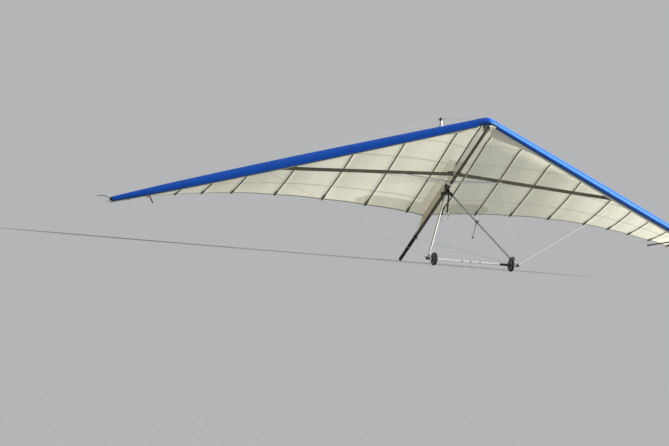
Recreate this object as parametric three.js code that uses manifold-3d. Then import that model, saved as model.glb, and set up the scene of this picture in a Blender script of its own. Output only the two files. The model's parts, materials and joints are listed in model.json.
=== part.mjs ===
// A two-place hang glider, parked nose up on its two base bar wheels and the end of its keel.
// Millimetres. Everything is first laid out in the keel's frame: origin where the leading edges
// meet the keel, +Y along the keel to the tail, +X to the pilot's left, +Z up from the keel.
// The last lines tip that frame to the parking attitude and set it on the floor.
import * as THREE from "three";
import { mergeVertices } from "three/addons/utils/BufferGeometryUtils.js";
import Module from "manifold-3d";

const wasm = await Module();
wasm.setup();

// Driving dimensions
const HALF_SPAN = 5500;
const NOSE_HALF_ANGLE = THREE.MathUtils.degToRad(61.6);
const GAP = 0.3; // between pieces that touch
const SIDES = { left: 1, right: -1 };

const KEEL = { radius: 25, front: 10, end: 3905 };
const TAIL_CAP = { radius: 29, from: 3760, to: 3920 };
const TAIL_GRIP = { radius: 31, from: 3290, to: 3620 };
const LEADING_TUBE = { radius: 24, start: 75, cap: 34, rootZ: 105, tipZ: 60 };
const CROSSBAR = { radius: 29, centreY: 1466, centreZ: 57, innerX: 44, spanX: 3316, endGap: 172, plug: 17 };
const KINGPOST = { radius: 19, footY: 1830, footZ: 48, topY: 1530, topZ: 1230 };
const NOSE_BOLTS = { radius: 6, places: [[0, 30], [0, 160], [96, 56], [-96, 56]] };
const APEX = { y: 1820, z: -62, x: 34 };
const FRAME = { halfWidth: 800, y: 1485, z: -1680 };
const DOWNTUBE_RADIUS = 16;
const BASE_BAR_RADIUS = 14.5;
const WHEEL = { x: 690, radius: 105, tyreInner: 78, width: 46, bore: 15.2 };
const HANG_PIN = { y: 1888, z: -62, radius: 6, halfLength: 84 };
const WEBBING = { thick: 4, wide: 26, spread: 46 };
const CARABINER = { wide: 60, tall: 112, bar: 10, corner: 16 };
const WIRE_RADIUS = 2;
const REAR_TANG = { y: 3225, length: 60, radius: 33 };

// Sail, one side. The rows are stations across the span, and each but the first two and the
// last carries a batten.
// x, trailing edge y and z, half height of the rounded leading edge, depth of the lower flap,
// camber as a share of the chord
const SAIL_STATIONS = [
  { x: 0.5, teY: 2840, teZ: 165, nose: 100, flap: 0, camber: 0.02 },
  { x: 150.5, teY: 2812, teZ: 172, nose: 100, flap: 0, camber: 0.023 },
  { x: 305, teY: 2795, teZ: 183, nose: 103, flap: 400, camber: 0.029 },
  { x: 1017, teY: 2870, teZ: 304, nose: 122, flap: 330, camber: 0.053 },
  { x: 1740, teY: 2976, teZ: 422, nose: 132, flap: 230, camber: 0.069 },
  { x: 2535, teY: 3097, teZ: 517, nose: 140, flap: 170, camber: 0.088 },
  { x: 3270, teY: 3190, teZ: 546, nose: 138, flap: 160, camber: 0.077 },
  { x: 3770, teY: 3275, teZ: 545, nose: 130, flap: 155, camber: 0.07 },
  { x: 4210, teY: 3360, teZ: 540, nose: 119, flap: 150, camber: 0.062 },
  { x: 4660, teY: 3460, teZ: 525, nose: 102, flap: 145, camber: 0.055 },
  { x: 5000, teY: 3470, teZ: 440, nose: 82, flap: 140, camber: 0.045 },
  { x: 5300, teY: 3380, teZ: 310, nose: 58, flap: 135, camber: 0.035 },
  { x: HALF_SPAN, teY: 3240, teZ: 190, nose: 42, flap: 130, camber: 0.025 },
];
const SAIL_SHEET = 8; // thickness that stands for the cloth
const POCKET_DEPTH = 90; // the leading edge pocket reaches this far behind the tube's centre
const NOSE_LEAN = THREE.MathUtils.degToRad(60); // the rounded front leans back as it rises
const CAMBER = { peak: 0.25, fade: 1.2 };
const BATTEN = { width: 18, drop: 9, overhang: 32 };
const CHORD_STEPS = [0.09, 0.17, 0.28, 0.42, 0.6, 0.8, 1];

const STRUT = { radius: 12, fromX: 4985, toX: 4600, toY: 3420, toZ: 385, start: 24.4 };
const WAND = { radius: 6, reach: [[0, 0, 0], [40, 165, 175], [115, 245, 212]] };

// Colours as the photograph shows them
const FINISH = {
  sailcloth: [0xe4dfc9, 0.75, 0],
  pocket: [0x0a3fae, 0.6, 0],
  anodised: [0x8d8b84, 0.35, 0.9],
  silver: [0xc9ccd0, 0.3, 0.95],
  dark: [0x2a2c2e, 0.45, 0.7],
  black: [0x121314, 0.7, 0],
  cable: [0x9aa0a6, 0.4, 0.8],
  webbing: [0x24262b, 0.9, 0],
};
const material = Object.fromEntries(
  Object.entries(FINISH).map(([name, [color, roughness, metalness]]) => [
    name,
    new THREE.MeshStandardMaterial({ name, color, roughness, metalness }),
  ]),
);

const vec = (x, y, z) => new THREE.Vector3(x, y, z);

// Solids. toSolid closes a three.js geometry into a manifold, and add() turns one into a mesh.
function toSolid(geometry) {
  const plain = new THREE.BufferGeometry();
  const source = geometry.index ? geometry.toNonIndexed() : geometry;
  plain.setAttribute("position", source.getAttribute("position"));
  const merged = mergeVertices(plain, 1e-3);
  return new wasm.Manifold(
    new wasm.Mesh({
      numProp: 3,
      vertProperties: merged.attributes.position.array,
      triVerts: new Uint32Array(merged.index.array),
    }),
  );
}

function toGeometry(solid) {
  const mesh = solid.getMesh();
  const points = new Float32Array(mesh.numVert * 3);
  for (let i = 0; i < mesh.numVert; i++) {
    points.set(mesh.vertProperties.subarray(i * mesh.numProp, i * mesh.numProp + 3), i * 3);
  }
  const geometry = new THREE.BufferGeometry();
  geometry.setAttribute("position", new THREE.BufferAttribute(points, 3));
  geometry.setIndex(new THREE.BufferAttribute(new Uint32Array(mesh.triVerts), 1));
  return geometry;
}

const keelFrame = new THREE.Group();

function add(name, solid, finish, parent = keelFrame) {
  const mesh = new THREE.Mesh(toGeometry(solid), material[finish]);
  mesh.name = name;
  parent.add(mesh);
  return mesh;
}

// A round bar from a to b. grow widens and lengthens it, for the hole that it sits in.
function bar({ a, b, r, sides = 16 }, grow = 0) {
  const along = b.clone().sub(a);
  const shape = new THREE.CylinderGeometry(r + grow, r + grow, along.length() + 2 * grow, sides);
  const turn = new THREE.Quaternion().setFromUnitVectors(vec(0, 1, 0), along.normalize());
  shape.applyQuaternion(turn);
  shape.translate(...a.clone().add(b).multiplyScalar(0.5).toArray());
  return toSolid(shape);
}

function block(size, centre) {
  const shape = new THREE.BoxGeometry(size.x, size.y, size.z);
  shape.translate(centre.x, centre.y, centre.z);
  return toSolid(shape);
}

// A flat outline in X and Y, extruded up from z = bottom.
function plate(outline, bottom, thickness) {
  const shape = new THREE.Shape(outline.map(([x, y]) => new THREE.Vector2(x, y)));
  const solid = new THREE.ExtrudeGeometry(shape, { depth: thickness, bevelEnabled: false });
  solid.translate(0, 0, bottom);
  return toSolid(solid);
}

// A profile of [axial, radius] pairs turned about a line along X through the centre.
function turnedAboutX(profile, centre, segments) {
  const points = profile.map(([axial, radius]) => new THREE.Vector2(radius, axial));
  const shape = new THREE.LatheGeometry(points, segments);
  shape.rotateZ(-Math.PI / 2);
  shape.translate(centre.x, centre.y, centre.z);
  const solid = toSolid(shape);
  return solid.volume() < 0 ? flipped(shape) : solid;
}

function flipped(geometry) {
  const index = geometry.index.array;
  for (let i = 0; i < index.length; i += 3) {
    [index[i + 1], index[i + 2]] = [index[i + 2], index[i + 1]];
  }
  return toSolid(geometry);
}

// A solid through sections that each hold the same number of points, closed by flat ends.
// The ends are cut up as the polygon that flat(point) gives.
function loft(sections, flat) {
  const count = sections[0].length;
  const positions = sections.flat().flatMap((p) => [p.x, p.y, p.z]);
  const faces = [];
  for (let s = 0; s + 1 < sections.length; s++) {
    for (let i = 0; i < count; i++) {
      const a = s * count + i;
      const b = s * count + ((i + 1) % count);
      faces.push(a, b, b + count, a, b + count, a + count);
    }
  }
  const last = (sections.length - 1) * count;
  for (const [section, offset, flip] of [[sections[0], 0, true], [sections.at(-1), last, false]]) {
    const outline = section.map(flat);
    for (const [i, j, k] of THREE.ShapeUtils.triangulateShape(outline, [])) {
      const area = turn2d(outline[i], outline[j], outline[k]);
      const forward = turn2dOf(outline) * area > 0;
      const order = forward !== flip ? [i, j, k] : [i, k, j];
      faces.push(...order.map((n) => n + offset));
    }
  }
  const geometry = new THREE.BufferGeometry();
  geometry.setAttribute("position", new THREE.Float32BufferAttribute(positions, 3));
  geometry.setIndex(faces);
  const solid = toSolid(geometry);
  return solid.volume() < 0 ? flipped(geometry) : solid;
}

const turn2d = (a, b, c) => (b.x - a.x) * (c.y - a.y) - (b.y - a.y) * (c.x - a.x);
const turn2dOf = (outline) => THREE.ShapeUtils.area(outline);
const sideView = (p) => new THREE.Vector2(p.y, p.z);

// Sail shape
const leadingY = (x) => x / Math.tan(NOSE_HALF_ANGLE);
const leadingZ = (x) => {
  const share = x / HALF_SPAN;
  return LEADING_TUBE.rootZ + (LEADING_TUBE.tipZ - LEADING_TUBE.rootZ) * share;
};
const leadingPoint = (x, side) => vec(side * x, leadingY(x), leadingZ(x));
const alongLeading = (side) => leadingPoint(HALF_SPAN, side).sub(leadingPoint(0, side)).normalize();

function camberShape(t) {
  const rise = t / CAMBER.peak;
  if (t < CAMBER.peak) return rise * (2 - rise);
  return ((1 - t) / (1 - CAMBER.peak)) ** CAMBER.fade;
}

// Height of the sail's middle surface at a share t of the chord.
function skinZ(station, t) {
  const chord = station.teY - leadingY(station.x);
  const nose = 0.5 * station.nose * (1 - t) ** 3;
  const flat = leadingZ(station.x) * (1 - t) + station.teZ * t;
  return flat + nose + station.camber * chord * camberShape(t);
}

function skinPoint(station, t, drop = 0) {
  const front = leadingY(station.x);
  return vec(station.x, front + (station.teY - front) * t, skinZ(station, t) - drop);
}

const chordShare = (station, depth) => depth / (station.teY - leadingY(station.x));

// The station between two rows of the table, so that any x can be asked for.
function stationAt(x) {
  const row = SAIL_STATIONS.findIndex((s) => s.x >= x);
  const b = SAIL_STATIONS[Math.max(row, 1)];
  const a = SAIL_STATIONS[Math.max(row, 1) - 1];
  const share = (x - a.x) / (b.x - a.x);
  const mixed = { x };
  for (const key of ["teY", "teZ", "nose", "flap", "camber"]) mixed[key] = a[key] + (b[key] - a[key]) * share;
  return mixed;
}

const mirrored = (points, side) => points.map((p) => vec(p.x * side, p.y, p.z));

// The rounded front of the wing: part of a leaning ellipse about the leading edge tube, then a
// floor and a top that run back to the pocket's rear face.
function noseSection(station, { grow = 0, back = POCKET_DEPTH, front = leadingY(station.x) } = {}) {
  const long = station.nose + grow;
  const short = 22 + 0.2 * station.nose + grow;
  const stretch = 1 / Math.sin(NOSE_HALF_ANGLE);
  const points = [];
  for (let degrees = 40; degrees <= 200; degrees += 20) {
    const angle = THREE.MathUtils.degToRad(degrees);
    const [up, out] = [long * Math.cos(angle), short * Math.sin(angle)];
    const ahead = out * Math.sin(NOSE_LEAN) - up * Math.cos(NOSE_LEAN);
    const rise = up * Math.sin(NOSE_LEAN) + out * Math.cos(NOSE_LEAN);
    points.push(vec(station.x, front - ahead * stretch, leadingZ(station.x) + rise));
  }
  points.push(vec(station.x, front + back, pocketFloor(station, POCKET_DEPTH) - grow));
  points.push(vec(station.x, front + back, skinZ(station, chordShare(station, back)) + grow));
  return points;
}

// Behind the pocket the underside runs straight up to where the lower flap meets the sail.
const flapReach = (station) => Math.max(station.flap, 130);

function pocketFloor(station, depth) {
  const reach = flapReach(station);
  const joined = skinZ(station, chordShare(station, reach)) - SAIL_SHEET;
  const floor = leadingZ(station.x) - 0.5 * station.nose;
  return floor + ((joined - floor) * (depth - POCKET_DEPTH)) / (reach - POCKET_DEPTH);
}

function sheetShares(station) {
  const from = chordShare(station, POCKET_DEPTH + GAP);
  return [from, ...CHORD_STEPS.map((s) => from + (1 - from) * s)];
}

function sheetSection(station) {
  const top = [];
  const floor = [];
  const flapShare = chordShare(station, flapReach(station));
  for (const t of sheetShares(station)) {
    top.push(skinPoint(station, t));
    const point = skinPoint(station, t, SAIL_SHEET);
    const depth = t * (station.teY - leadingY(station.x));
    if (station.flap && t < flapShare) {
      point.z = Math.min(point.z, pocketFloor(station, depth));
    }
    floor.push(point);
  }
  return [...top, ...floor.reverse()];
}

// A batten in its pocket: a ridge under the sail, past the trailing edge at its end.
function battenRidge(station, side) {
  const half = BATTEN.width / 2;
  const start = chordShare(station, station.flap * 0.8);
  const overhang = BATTEN.overhang / (station.teY - leadingY(station.x));
  const shares = [start, 0.35, 0.5, 0.65, 0.82, 1, 1 + overhang];
  const sections = shares.map((t) => {
    const capped = Math.min(t, 1);
    const low = skinPoint(station, capped, SAIL_SHEET + BATTEN.drop);
    const high = skinPoint(station, capped, t > 1 ? SAIL_SHEET / 2 : SAIL_SHEET / 2 + 1);
    const y = leadingY(station.x) + (station.teY - leadingY(station.x)) * t;
    return [
      vec(station.x - half, y, high.z),
      vec(station.x + half, y, high.z),
      vec(station.x + half * 0.6, y, low.z),
      vec(station.x - half * 0.6, y, low.z),
    ];
  });
  return loft(sections.map((s) => mirrored(s, side)), (p) => new THREE.Vector2(p.x, p.z));
}

// Parts of the airframe that other pieces are cut to fit
const rods = {
  keel: { a: vec(0, KEEL.front, 0), b: vec(0, KEEL.end, 0), r: KEEL.radius, sides: 20 },
  kingpost: {
    a: vec(0, KINGPOST.footY, KINGPOST.footZ),
    b: vec(0, KINGPOST.topY, KINGPOST.topZ),
    r: KINGPOST.radius,
  },
  baseBar: {
    a: vec(-FRAME.halfWidth - 12, FRAME.y, FRAME.z),
    b: vec(FRAME.halfWidth + 12, FRAME.y, FRAME.z),
    r: BASE_BAR_RADIUS,
    sides: 20,
  },
};

const junction = (side) => leadingPoint(CROSSBAR.spanX, side);
const crossbarCentre = (side) => vec(side * CROSSBAR.innerX, CROSSBAR.centreY, CROSSBAR.centreZ);
const crossbarWay = (side) => junction(side).sub(crossbarCentre(side)).normalize();
const step = (from, way, distance) => from.clone().addScaledVector(way, distance);

function leadingRod(side) {
  const end = leadingPoint(HALF_SPAN - LEADING_TUBE.cap, side);
  const start = step(leadingPoint(0, side), alongLeading(side), LEADING_TUBE.start);
  return { a: start, b: end, r: LEADING_TUBE.radius };
}

function crossbarRod(side) {
  return {
    a: crossbarCentre(side),
    b: step(junction(side), crossbarWay(side), -CROSSBAR.endGap),
    r: CROSSBAR.radius,
    sides: 20,
  };
}

// The crossbar's end fitting: a sleeve round the leading edge tube, a plug into the crossbar and
// a tab above and below for the side wires.
function junctionShape(side, grow = 0) {
  const middle = junction(side);
  const sleeve = {
    a: step(middle, alongLeading(side), -60),
    b: step(middle, alongLeading(side), 60),
    r: LEADING_TUBE.radius + 7,
  };
  const tab = block(vec(14 + 2 * grow, 46 + 2 * grow, 116 + 2 * grow), step(middle, crossbarWay(side), -44));
  return bar(sleeve, grow).add(bar(plugRod(side), grow)).add(tab);
}

function plugRod(side) {
  const middle = junction(side);
  return { a: middle, b: step(middle, crossbarWay(side), -CROSSBAR.endGap - 70), r: CROSSBAR.plug };
}

const cornerOf = (side) => vec(side * FRAME.halfWidth, FRAME.y, FRAME.z);
const apexOf = (side) => vec(side * APEX.x, APEX.y, APEX.z);

function downtubeRod(side) {
  const way = cornerOf(side).sub(apexOf(side)).normalize();
  return {
    a: step(apexOf(side), way, 26),
    b: step(cornerOf(side), way, -34),
    r: DOWNTUBE_RADIUS,
  };
}

function strutRod(side) {
  const root = leadingPoint(STRUT.fromX, side);
  const end = vec(side * STRUT.toX, STRUT.toY, STRUT.toZ);
  const way = end.clone().sub(root).normalize();
  return { a: step(root, way, STRUT.start), b: end, r: STRUT.radius, sides: 12 };
}

// Undersides of the upper and tops of the lower nose plate, which clamp the leading edge tubes
const NOSE_TOP = LEADING_TUBE.rootZ + LEADING_TUBE.radius + GAP;
const NOSE_LOW = leadingZ(140) - LEADING_TUBE.radius - GAP;

// The stays. Each runs between two fittings, and ends inside both.
const kingpostWay = rods.kingpost.b.clone().sub(rods.kingpost.a).normalize();
const kingpostTop = (x, y) => step(rods.kingpost.b, kingpostWay, 10).add(vec(x, y, 0));
const wires = {};
for (const [name, side] of Object.entries(SIDES)) {
  const corner = cornerOf(side).add(vec(side * 16, 0, 12));
  const tab = step(junction(side), crossbarWay(side), -44);
  wires[`lower_side_wire_${name}`] = [corner, tab.clone().add(vec(0, 0, -46))];
  wires[`lower_front_wire_${name}`] = [cornerOf(side).add(vec(side * 10, -12, 14)), vec(side * 10, 66, -40)];
  wires[`lower_rear_wire_${name}`] = [
    cornerOf(side).add(vec(side * 10, 14, 14)),
    vec(side * 12, REAR_TANG.y, -REAR_TANG.radius + 4),
  ];
  wires[`upper_side_wire_${name}`] = [kingpostTop(side * 12, 0), tab.clone().add(vec(0, 0, 50))];
}
wires.upper_front_wire = [kingpostTop(0, -12), vec(0, 70, NOSE_TOP + 13)];
wires.upper_rear_wire = [kingpostTop(0, 18), vec(0, REAR_TANG.y, REAR_TANG.radius - 4)];
const wireRod = ([a, b]) => ({ a, b, r: WIRE_RADIUS, sides: 6 });
const wireCuts = Object.values(wires).map((ends) => bar(wireRod(ends), GAP));
const cutAll = (solid, cuts) => cuts.reduce((left, cut) => left.subtract(cut), solid);
const cutWires = (solid) => cutAll(solid, wireCuts);

const noseBolt = ([x, y], low, grow = 0) =>
  bar({ a: vec(x, y, low), b: vec(x, y, NOSE_TOP + 11), r: NOSE_BOLTS.radius, sides: 8 }, grow);
const noseBoltHoles = NOSE_BOLTS.places.map((place) => noseBolt(place, -60, GAP));

// Keel and what is on it
function keelPieces() {
  add("keel_tube", cutAll(bar(rods.keel), noseBoltHoles), "anodised");
  const cap = bar({ a: vec(0, TAIL_CAP.from, 0), b: vec(0, TAIL_CAP.to, 0), r: TAIL_CAP.radius, sides: 20 });
  add("keel_end_cap", cap.subtract(bar(rods.keel, GAP)), "dark");
  const grip = bar({ a: vec(0, TAIL_GRIP.from, 0), b: vec(0, TAIL_GRIP.to, 0), r: TAIL_GRIP.radius, sides: 20 });
  add("keel_grip", grip.subtract(bar(rods.keel, GAP)), "black");

  const half = REAR_TANG.length / 2;
  const ring = bar({
    a: vec(0, REAR_TANG.y - half, 0),
    b: vec(0, REAR_TANG.y + half, 0),
    r: REAR_TANG.radius,
    sides: 20,
  });
  const ears = block(vec(36, 34, 92), vec(0, REAR_TANG.y, 0));
  add("keel_rear_bracket", cutWires(ring.add(ears).subtract(bar(rods.keel, GAP))), "dark");
}

// Two plates that clamp the leading edge tubes, on a saddle over the keel, and below the keel the
// lug that takes the lower front stays
function nosePieces() {
  const outline = [
    [-40, 18], [40, 18], [138, 64], [138, 104], [60, 76], [34, 190], [-34, 190], [-60, 76], [-138, 104], [-138, 64],
  ];
  const under = -KEEL.radius - GAP;
  const saddle = block(vec(64, 176, NOSE_LOW), vec(0, 100, NOSE_LOW / 2 - 4));
  let plates = plate(outline, NOSE_TOP, 5)
    .add(plate(outline, NOSE_LOW - 5, 5))
    .add(block(vec(20, 30, 18), vec(0, 70, NOSE_TOP + 12)))
    .add(saddle.subtract(bar(rods.keel, GAP)))
    .add(block(vec(40, 152, 7), vec(0, 96, under - 3.5)))
    .add(block(vec(44, 40, 20), vec(0, 66, under - 12)));
  for (const place of NOSE_BOLTS.places) {
    plates = plates.add(noseBolt(place, place[0] === 0 ? under - 14 : NOSE_LOW - 12));
  }
  add("nose_plates", cutWires(plates), "silver");
}

// The cloth cap over the nose, a shell that is open below and behind for the plates
function noseCone() {
  const rounding = 30;
  const shell = (grow, back, reach) => {
    const sections = [-1, -0.67, -0.33, 0, 0.33, 0.67, 1].map((share) => {
      const x = share * reach;
      const station = { ...stationAt(Math.max(Math.abs(x), 1)), x: Math.abs(x) };
      const front = Math.hypot(leadingY(x), rounding);
      return noseSection(station, { grow, back, front }).map((p) => vec(x, p.y, p.z));
    });
    return loft(sections, sideView);
  };
  const below = [[-36, -18], [36, -18], [152, 34], [152, 400], [-152, 400], [-152, 34]];
  const solid = shell(5, 60, 150).subtract(shell(-9, 110, 154)).subtract(plate(below, -200, 302));
  add("nose_cone", cutWires(solid), "pocket");
}

// Sail, pockets and battens of one side
function wingPieces(name, side) {
  const junctionHole = junctionShape(side, GAP + 0.2);
  const crossbarHole = bar(crossbarRod(side), 4);
  const strutHole = bar(strutRod(side), 1.5);
  const kingpostHole = bar(rods.kingpost, 5);
  const tube = bar(leadingRod(side), GAP);

  const outer = SAIL_STATIONS.slice(1);
  const pocketSections = outer.map((station) => mirrored(noseSection(station), side));
  const holes = [tube, bar(tipCapRod(side), GAP), junctionHole, crossbarHole, strutHole];
  const pocket = cutAll(loft(pocketSections, sideView), holes);
  add(`leading_edge_pocket_${name}`, cutWires(pocket), "pocket");

  const sheetSections = SAIL_STATIONS.map((station) => mirrored(sheetSection(station), side));
  let sail = loft(sheetSections, sideView);
  for (const station of SAIL_STATIONS.slice(2, -1)) sail = sail.add(battenRidge(station, side));
  sail = cutAll(sail, [junctionHole, crossbarHole, strutHole, kingpostHole]);
  add(`sail_${name}`, cutWires(sail), "sailcloth");

  const hinge = junctionShape(side);
  add(`leading_edge_tube_${name}`, cutAll(bar(leadingRod(side)), noseBoltHoles), "anodised");
  add(`crossbar_end_bracket_${name}`, cutWires(hinge.subtract(tube)), "silver");
  add(`crossbar_${name}`, bar(crossbarRod(side)).subtract(bar(plugRod(side), GAP)), "anodised");
  add(`washout_strut_${name}`, bar(strutRod(side)), "dark");
}

function tipCapRod(side) {
  const end = leadingPoint(HALF_SPAN, side);
  return {
    a: leadingRod(side).b.clone().addScaledVector(alongLeading(side), GAP),
    b: step(end, alongLeading(side), 30),
    r: LEADING_TUBE.radius + 2,
  };
}

// Tip of one side: a cap on the tube's end with the curved rod that spreads the sail's tip
function tipPieces(name, side) {
  const end = leadingPoint(HALF_SPAN, side);
  const points = WAND.reach.map(([x, y, z]) => vec(side * x, y, z).add(step(end, alongLeading(side), 20)));
  const curve = new THREE.CatmullRomCurve3(points);
  const circle = new THREE.Shape().absarc(0, 0, WAND.radius, 0, 2 * Math.PI);
  const rod = new THREE.ExtrudeGeometry(circle, { steps: 10, curveSegments: 4, extrudePath: curve });
  add(`tip_wand_${name}`, bar(tipCapRod(side)).add(toSolid(rod)), "dark");
}

// A block that straddles the keel between the crossbar's two tubes, with a plate over their ends
function crossbarCentrePiece() {
  const top = CROSSBAR.centreZ + CROSSBAR.radius + 1.2;
  const outline = [
    [-130, 40], [130, 40], [130, -20], [40, -34], [-40, -34], [-130, -20],
  ].map(([x, y]) => [x, y + CROSSBAR.centreY]);
  const middle = block(vec(72, 52, top - 6), vec(0, CROSSBAR.centreY, (top + 6) / 2));
  const bolt = bar({ a: vec(0, CROSSBAR.centreY, top), b: vec(0, CROSSBAR.centreY, top + 16), r: 9, sides: 12 });
  const solid = plate(outline, top, 5).add(bolt).add(middle.subtract(bar(rods.keel, GAP)));
  add("crossbar_centre_hinge", solid, "silver");
}

function kingpostPieces() {
  add("kingpost", bar(rods.kingpost), "silver");
  const foot = block(vec(56, 90, 22), vec(0, KINGPOST.footY, KEEL.radius + GAP + 11));
  const cup = bar({
    a: step(rods.kingpost.a, kingpostWay, -14),
    b: step(rods.kingpost.a, kingpostWay, 46),
    r: 25,
  });
  add("kingpost_base", foot.add(cup).subtract(bar(rods.kingpost, GAP)), "dark");
  const cap = bar({
    a: step(rods.kingpost.b, kingpostWay, -34),
    b: step(rods.kingpost.b, kingpostWay, 22),
    r: KINGPOST.radius + 6,
  });
  add("kingpost_cap", cutWires(cap.subtract(bar(rods.kingpost, GAP))), "black");
}

// Control frame
function controlFramePieces() {
  const saddle = block(vec(58, 76, 24), vec(0, APEX.y, -KEEL.radius - GAP - 12));
  const bolt = bar({ a: vec(-64, APEX.y, APEX.z), b: vec(64, APEX.y, APEX.z), r: 12, sides: 12 });
  const cheeks = block(vec(64, 44, 44), vec(0, APEX.y, APEX.z));
  const sockets = Object.values(SIDES).map((side) => {
    const rod = downtubeRod(side);
    const way = cornerOf(side).sub(apexOf(side)).normalize();
    return bar({ a: step(rod.a, way, -24), b: step(rod.a, way, 70), r: DOWNTUBE_RADIUS + 5 });
  });
  let apex = sockets.reduce((left, socket) => left.add(socket), saddle.add(bolt).add(cheeks));
  for (const side of Object.values(SIDES)) apex = apex.subtract(bar(downtubeRod(side), GAP));
  add("apex_bracket", apex, "dark");

  add("base_bar", bar(rods.baseBar), "silver");
  for (const [name, side] of Object.entries(SIDES)) {
    add(`downtube_${name}`, bar(downtubeRod(side)), "silver");
    const corner = cornerOf(side);
    const rod = downtubeRod(side);
    const way = corner.clone().sub(apexOf(side)).normalize();
    const elbow = bar({ a: corner.clone().add(vec(-side * 26, 0, 0)), b: corner.clone().add(vec(side * 34, 0, 0)), r: 21 })
      .add(bar({ a: step(rod.b, way, -86), b: step(corner, way, -6), r: DOWNTUBE_RADIUS + 4.5 }))
      .add(block(vec(16, 58, 26), corner.clone().add(vec(side * 16, 0, 14))));
    const fitted = elbow.subtract(bar(rods.baseBar, GAP)).subtract(bar(rod, GAP));
    add(`corner_bracket_${name}`, cutWires(fitted), "black");
  }
}

// Wheels turn on the base bar, each between two stop collars
function wheelPieces(name, side) {
  const centre = vec(side * WHEEL.x, FRAME.y, FRAME.z);
  const half = WHEEL.width / 2;
  const crown = [
    [-half + 6, WHEEL.tyreInner], [-half, WHEEL.tyreInner + 9], [-half + 5, WHEEL.radius - 7],
    [-8, WHEEL.radius], [8, WHEEL.radius],
    [half - 5, WHEEL.radius - 7], [half, WHEEL.tyreInner + 9], [half - 6, WHEEL.tyreInner],
    [-half + 6, WHEEL.tyreInner],
  ];
  add(`wheel_tyre_${name}`, turnedAboutX(crown, centre, 40), "black");

  const rim = WHEEL.tyreInner - GAP;
  const hubProfile = [
    [-24, WHEEL.bore], [-24, 30], [-7, 34], [-5, 62], [-half + 7, 68], [-half + 7, rim],
    [half - 7, rim], [half - 7, 68], [5, 62], [7, 34], [24, 30], [24, WHEEL.bore],
    [-24, WHEEL.bore],
  ];
  add(`wheel_hub_${name}`, turnedAboutX(hubProfile, centre, 32), "dark");

  for (const [label, offset] of [["inner", -36], ["outer", 36]]) {
    const at = centre.clone().add(vec(side * offset, 0, 0));
    const collar = bar({ a: at.clone().add(vec(-6, 0, 0)), b: at.clone().add(vec(6, 0, 0)), r: 22 });
    add(`wheel_collar_${label}_${name}`, collar.subtract(bar(rods.baseBar, GAP)), "black");
  }
}

// The cloth fin and sleeve that hold the sail's root to the keel
function keelPocket() {
  const root = SAIL_STATIONS[0];
  const seam = sheetShares(root).map((t) => [root.teY * t, skinZ(root, t) - SAIL_SHEET - GAP]);
  const first = 1915;
  const next = seam.findIndex(([y]) => y > first);
  const [[y0, z0], [y1, z1]] = [seam[next - 1], seam[next]];
  const start = [first, z0 + ((z1 - z0) * (first - y0)) / (y1 - y0)];
  const lower = [[3120, KEEL.radius + 2], [first, KEEL.radius + 2]];
  const fin = plate([start, ...seam.slice(next), ...lower], -3, 6).rotate([90, 0, 90]);
  const sleeve = bar({ a: vec(0, first, 0), b: vec(0, 3125, 0), r: KEEL.radius + 5, sides: 20 });
  add("keel_pocket", fin.add(sleeve).subtract(bar(rods.keel, GAP)), "sailcloth");
}

// Hang point: a bracket and pin under the keel, and two webbing loops that swing on the pin
function hangPieces(parkingPitch) {
  const centre = vec(0, HANG_PIN.y, HANG_PIN.z);
  const pin = bar({
    a: centre.clone().add(vec(-HANG_PIN.halfLength, 0, 0)),
    b: centre.clone().add(vec(HANG_PIN.halfLength, 0, 0)),
    r: HANG_PIN.radius,
    sides: 12,
  });
  const armHeight = 50;
  const top = -KEEL.radius - GAP;
  let bracket = pin.add(block(vec(2 * HANG_PIN.halfLength, 40, 12), vec(0, HANG_PIN.y, top - 6)));
  for (const side of Object.values(SIDES)) {
    const arm = vec(side * (HANG_PIN.halfLength - 5), HANG_PIN.y, top - armHeight / 2);
    bracket = bracket.add(block(vec(6, 34, armHeight), arm));
  }
  add("hang_bracket", bracket, "dark");

  const swing = new THREE.Group();
  swing.position.copy(centre);
  swing.rotation.x = parkingPitch;
  keelFrame.add(swing);
  const loops = { main: [SIDES.left, 300], backup: [SIDES.right, 350] };
  for (const [name, [side, length]] of Object.entries(loops)) {
    const x = side * WEBBING.spread;
    const inside = HANG_PIN.radius + GAP;
    const outline = loopOutline(inside + WEBBING.thick, length);
    outline.holes.push(loopOutline(inside, length - WEBBING.thick));
    const flat = { depth: WEBBING.wide, bevelEnabled: false, curveSegments: 8 };
    const webbing = new THREE.ExtrudeGeometry(outline, flat);
    webbing.rotateX(Math.PI / 2).rotateZ(Math.PI / 2);
    webbing.translate(x - WEBBING.wide / 2, 0, 0);
    add(`hang_loop_${name}`, toSolid(webbing), "webbing", swing);

    const ring = carabinerOutline(0);
    ring.holes.push(carabinerOutline(CARABINER.bar));
    const thick = { depth: CARABINER.bar, bevelEnabled: false, curveSegments: 4 };
    const hook = new THREE.ExtrudeGeometry(ring, thick);
    const seat = -length + WEBBING.thick + GAP + CARABINER.bar;
    hook.rotateX(Math.PI / 2);
    hook.translate(x, CARABINER.bar / 2, seat - CARABINER.tall / 2);
    add(`carabiner_${name}`, toSolid(hook), "silver", swing);
  }
}

// A rounded box about the origin, for the ring's outer edge and, inset by its bar, the inner one
function carabinerOutline(inset) {
  const [x, y, r] = [CARABINER.wide / 2 - inset, CARABINER.tall / 2 - inset, CARABINER.corner - inset];
  const outline = new THREE.Shape();
  outline.moveTo(x - r, y);
  outline.absarc(r - x, y - r, r, Math.PI / 2, Math.PI);
  outline.absarc(r - x, r - y, r, Math.PI, 1.5 * Math.PI);
  outline.absarc(x - r, r - y, r, 1.5 * Math.PI, 2 * Math.PI);
  outline.absarc(x - r, y - r, r, 0, Math.PI / 2);
  return outline;
}

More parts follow.
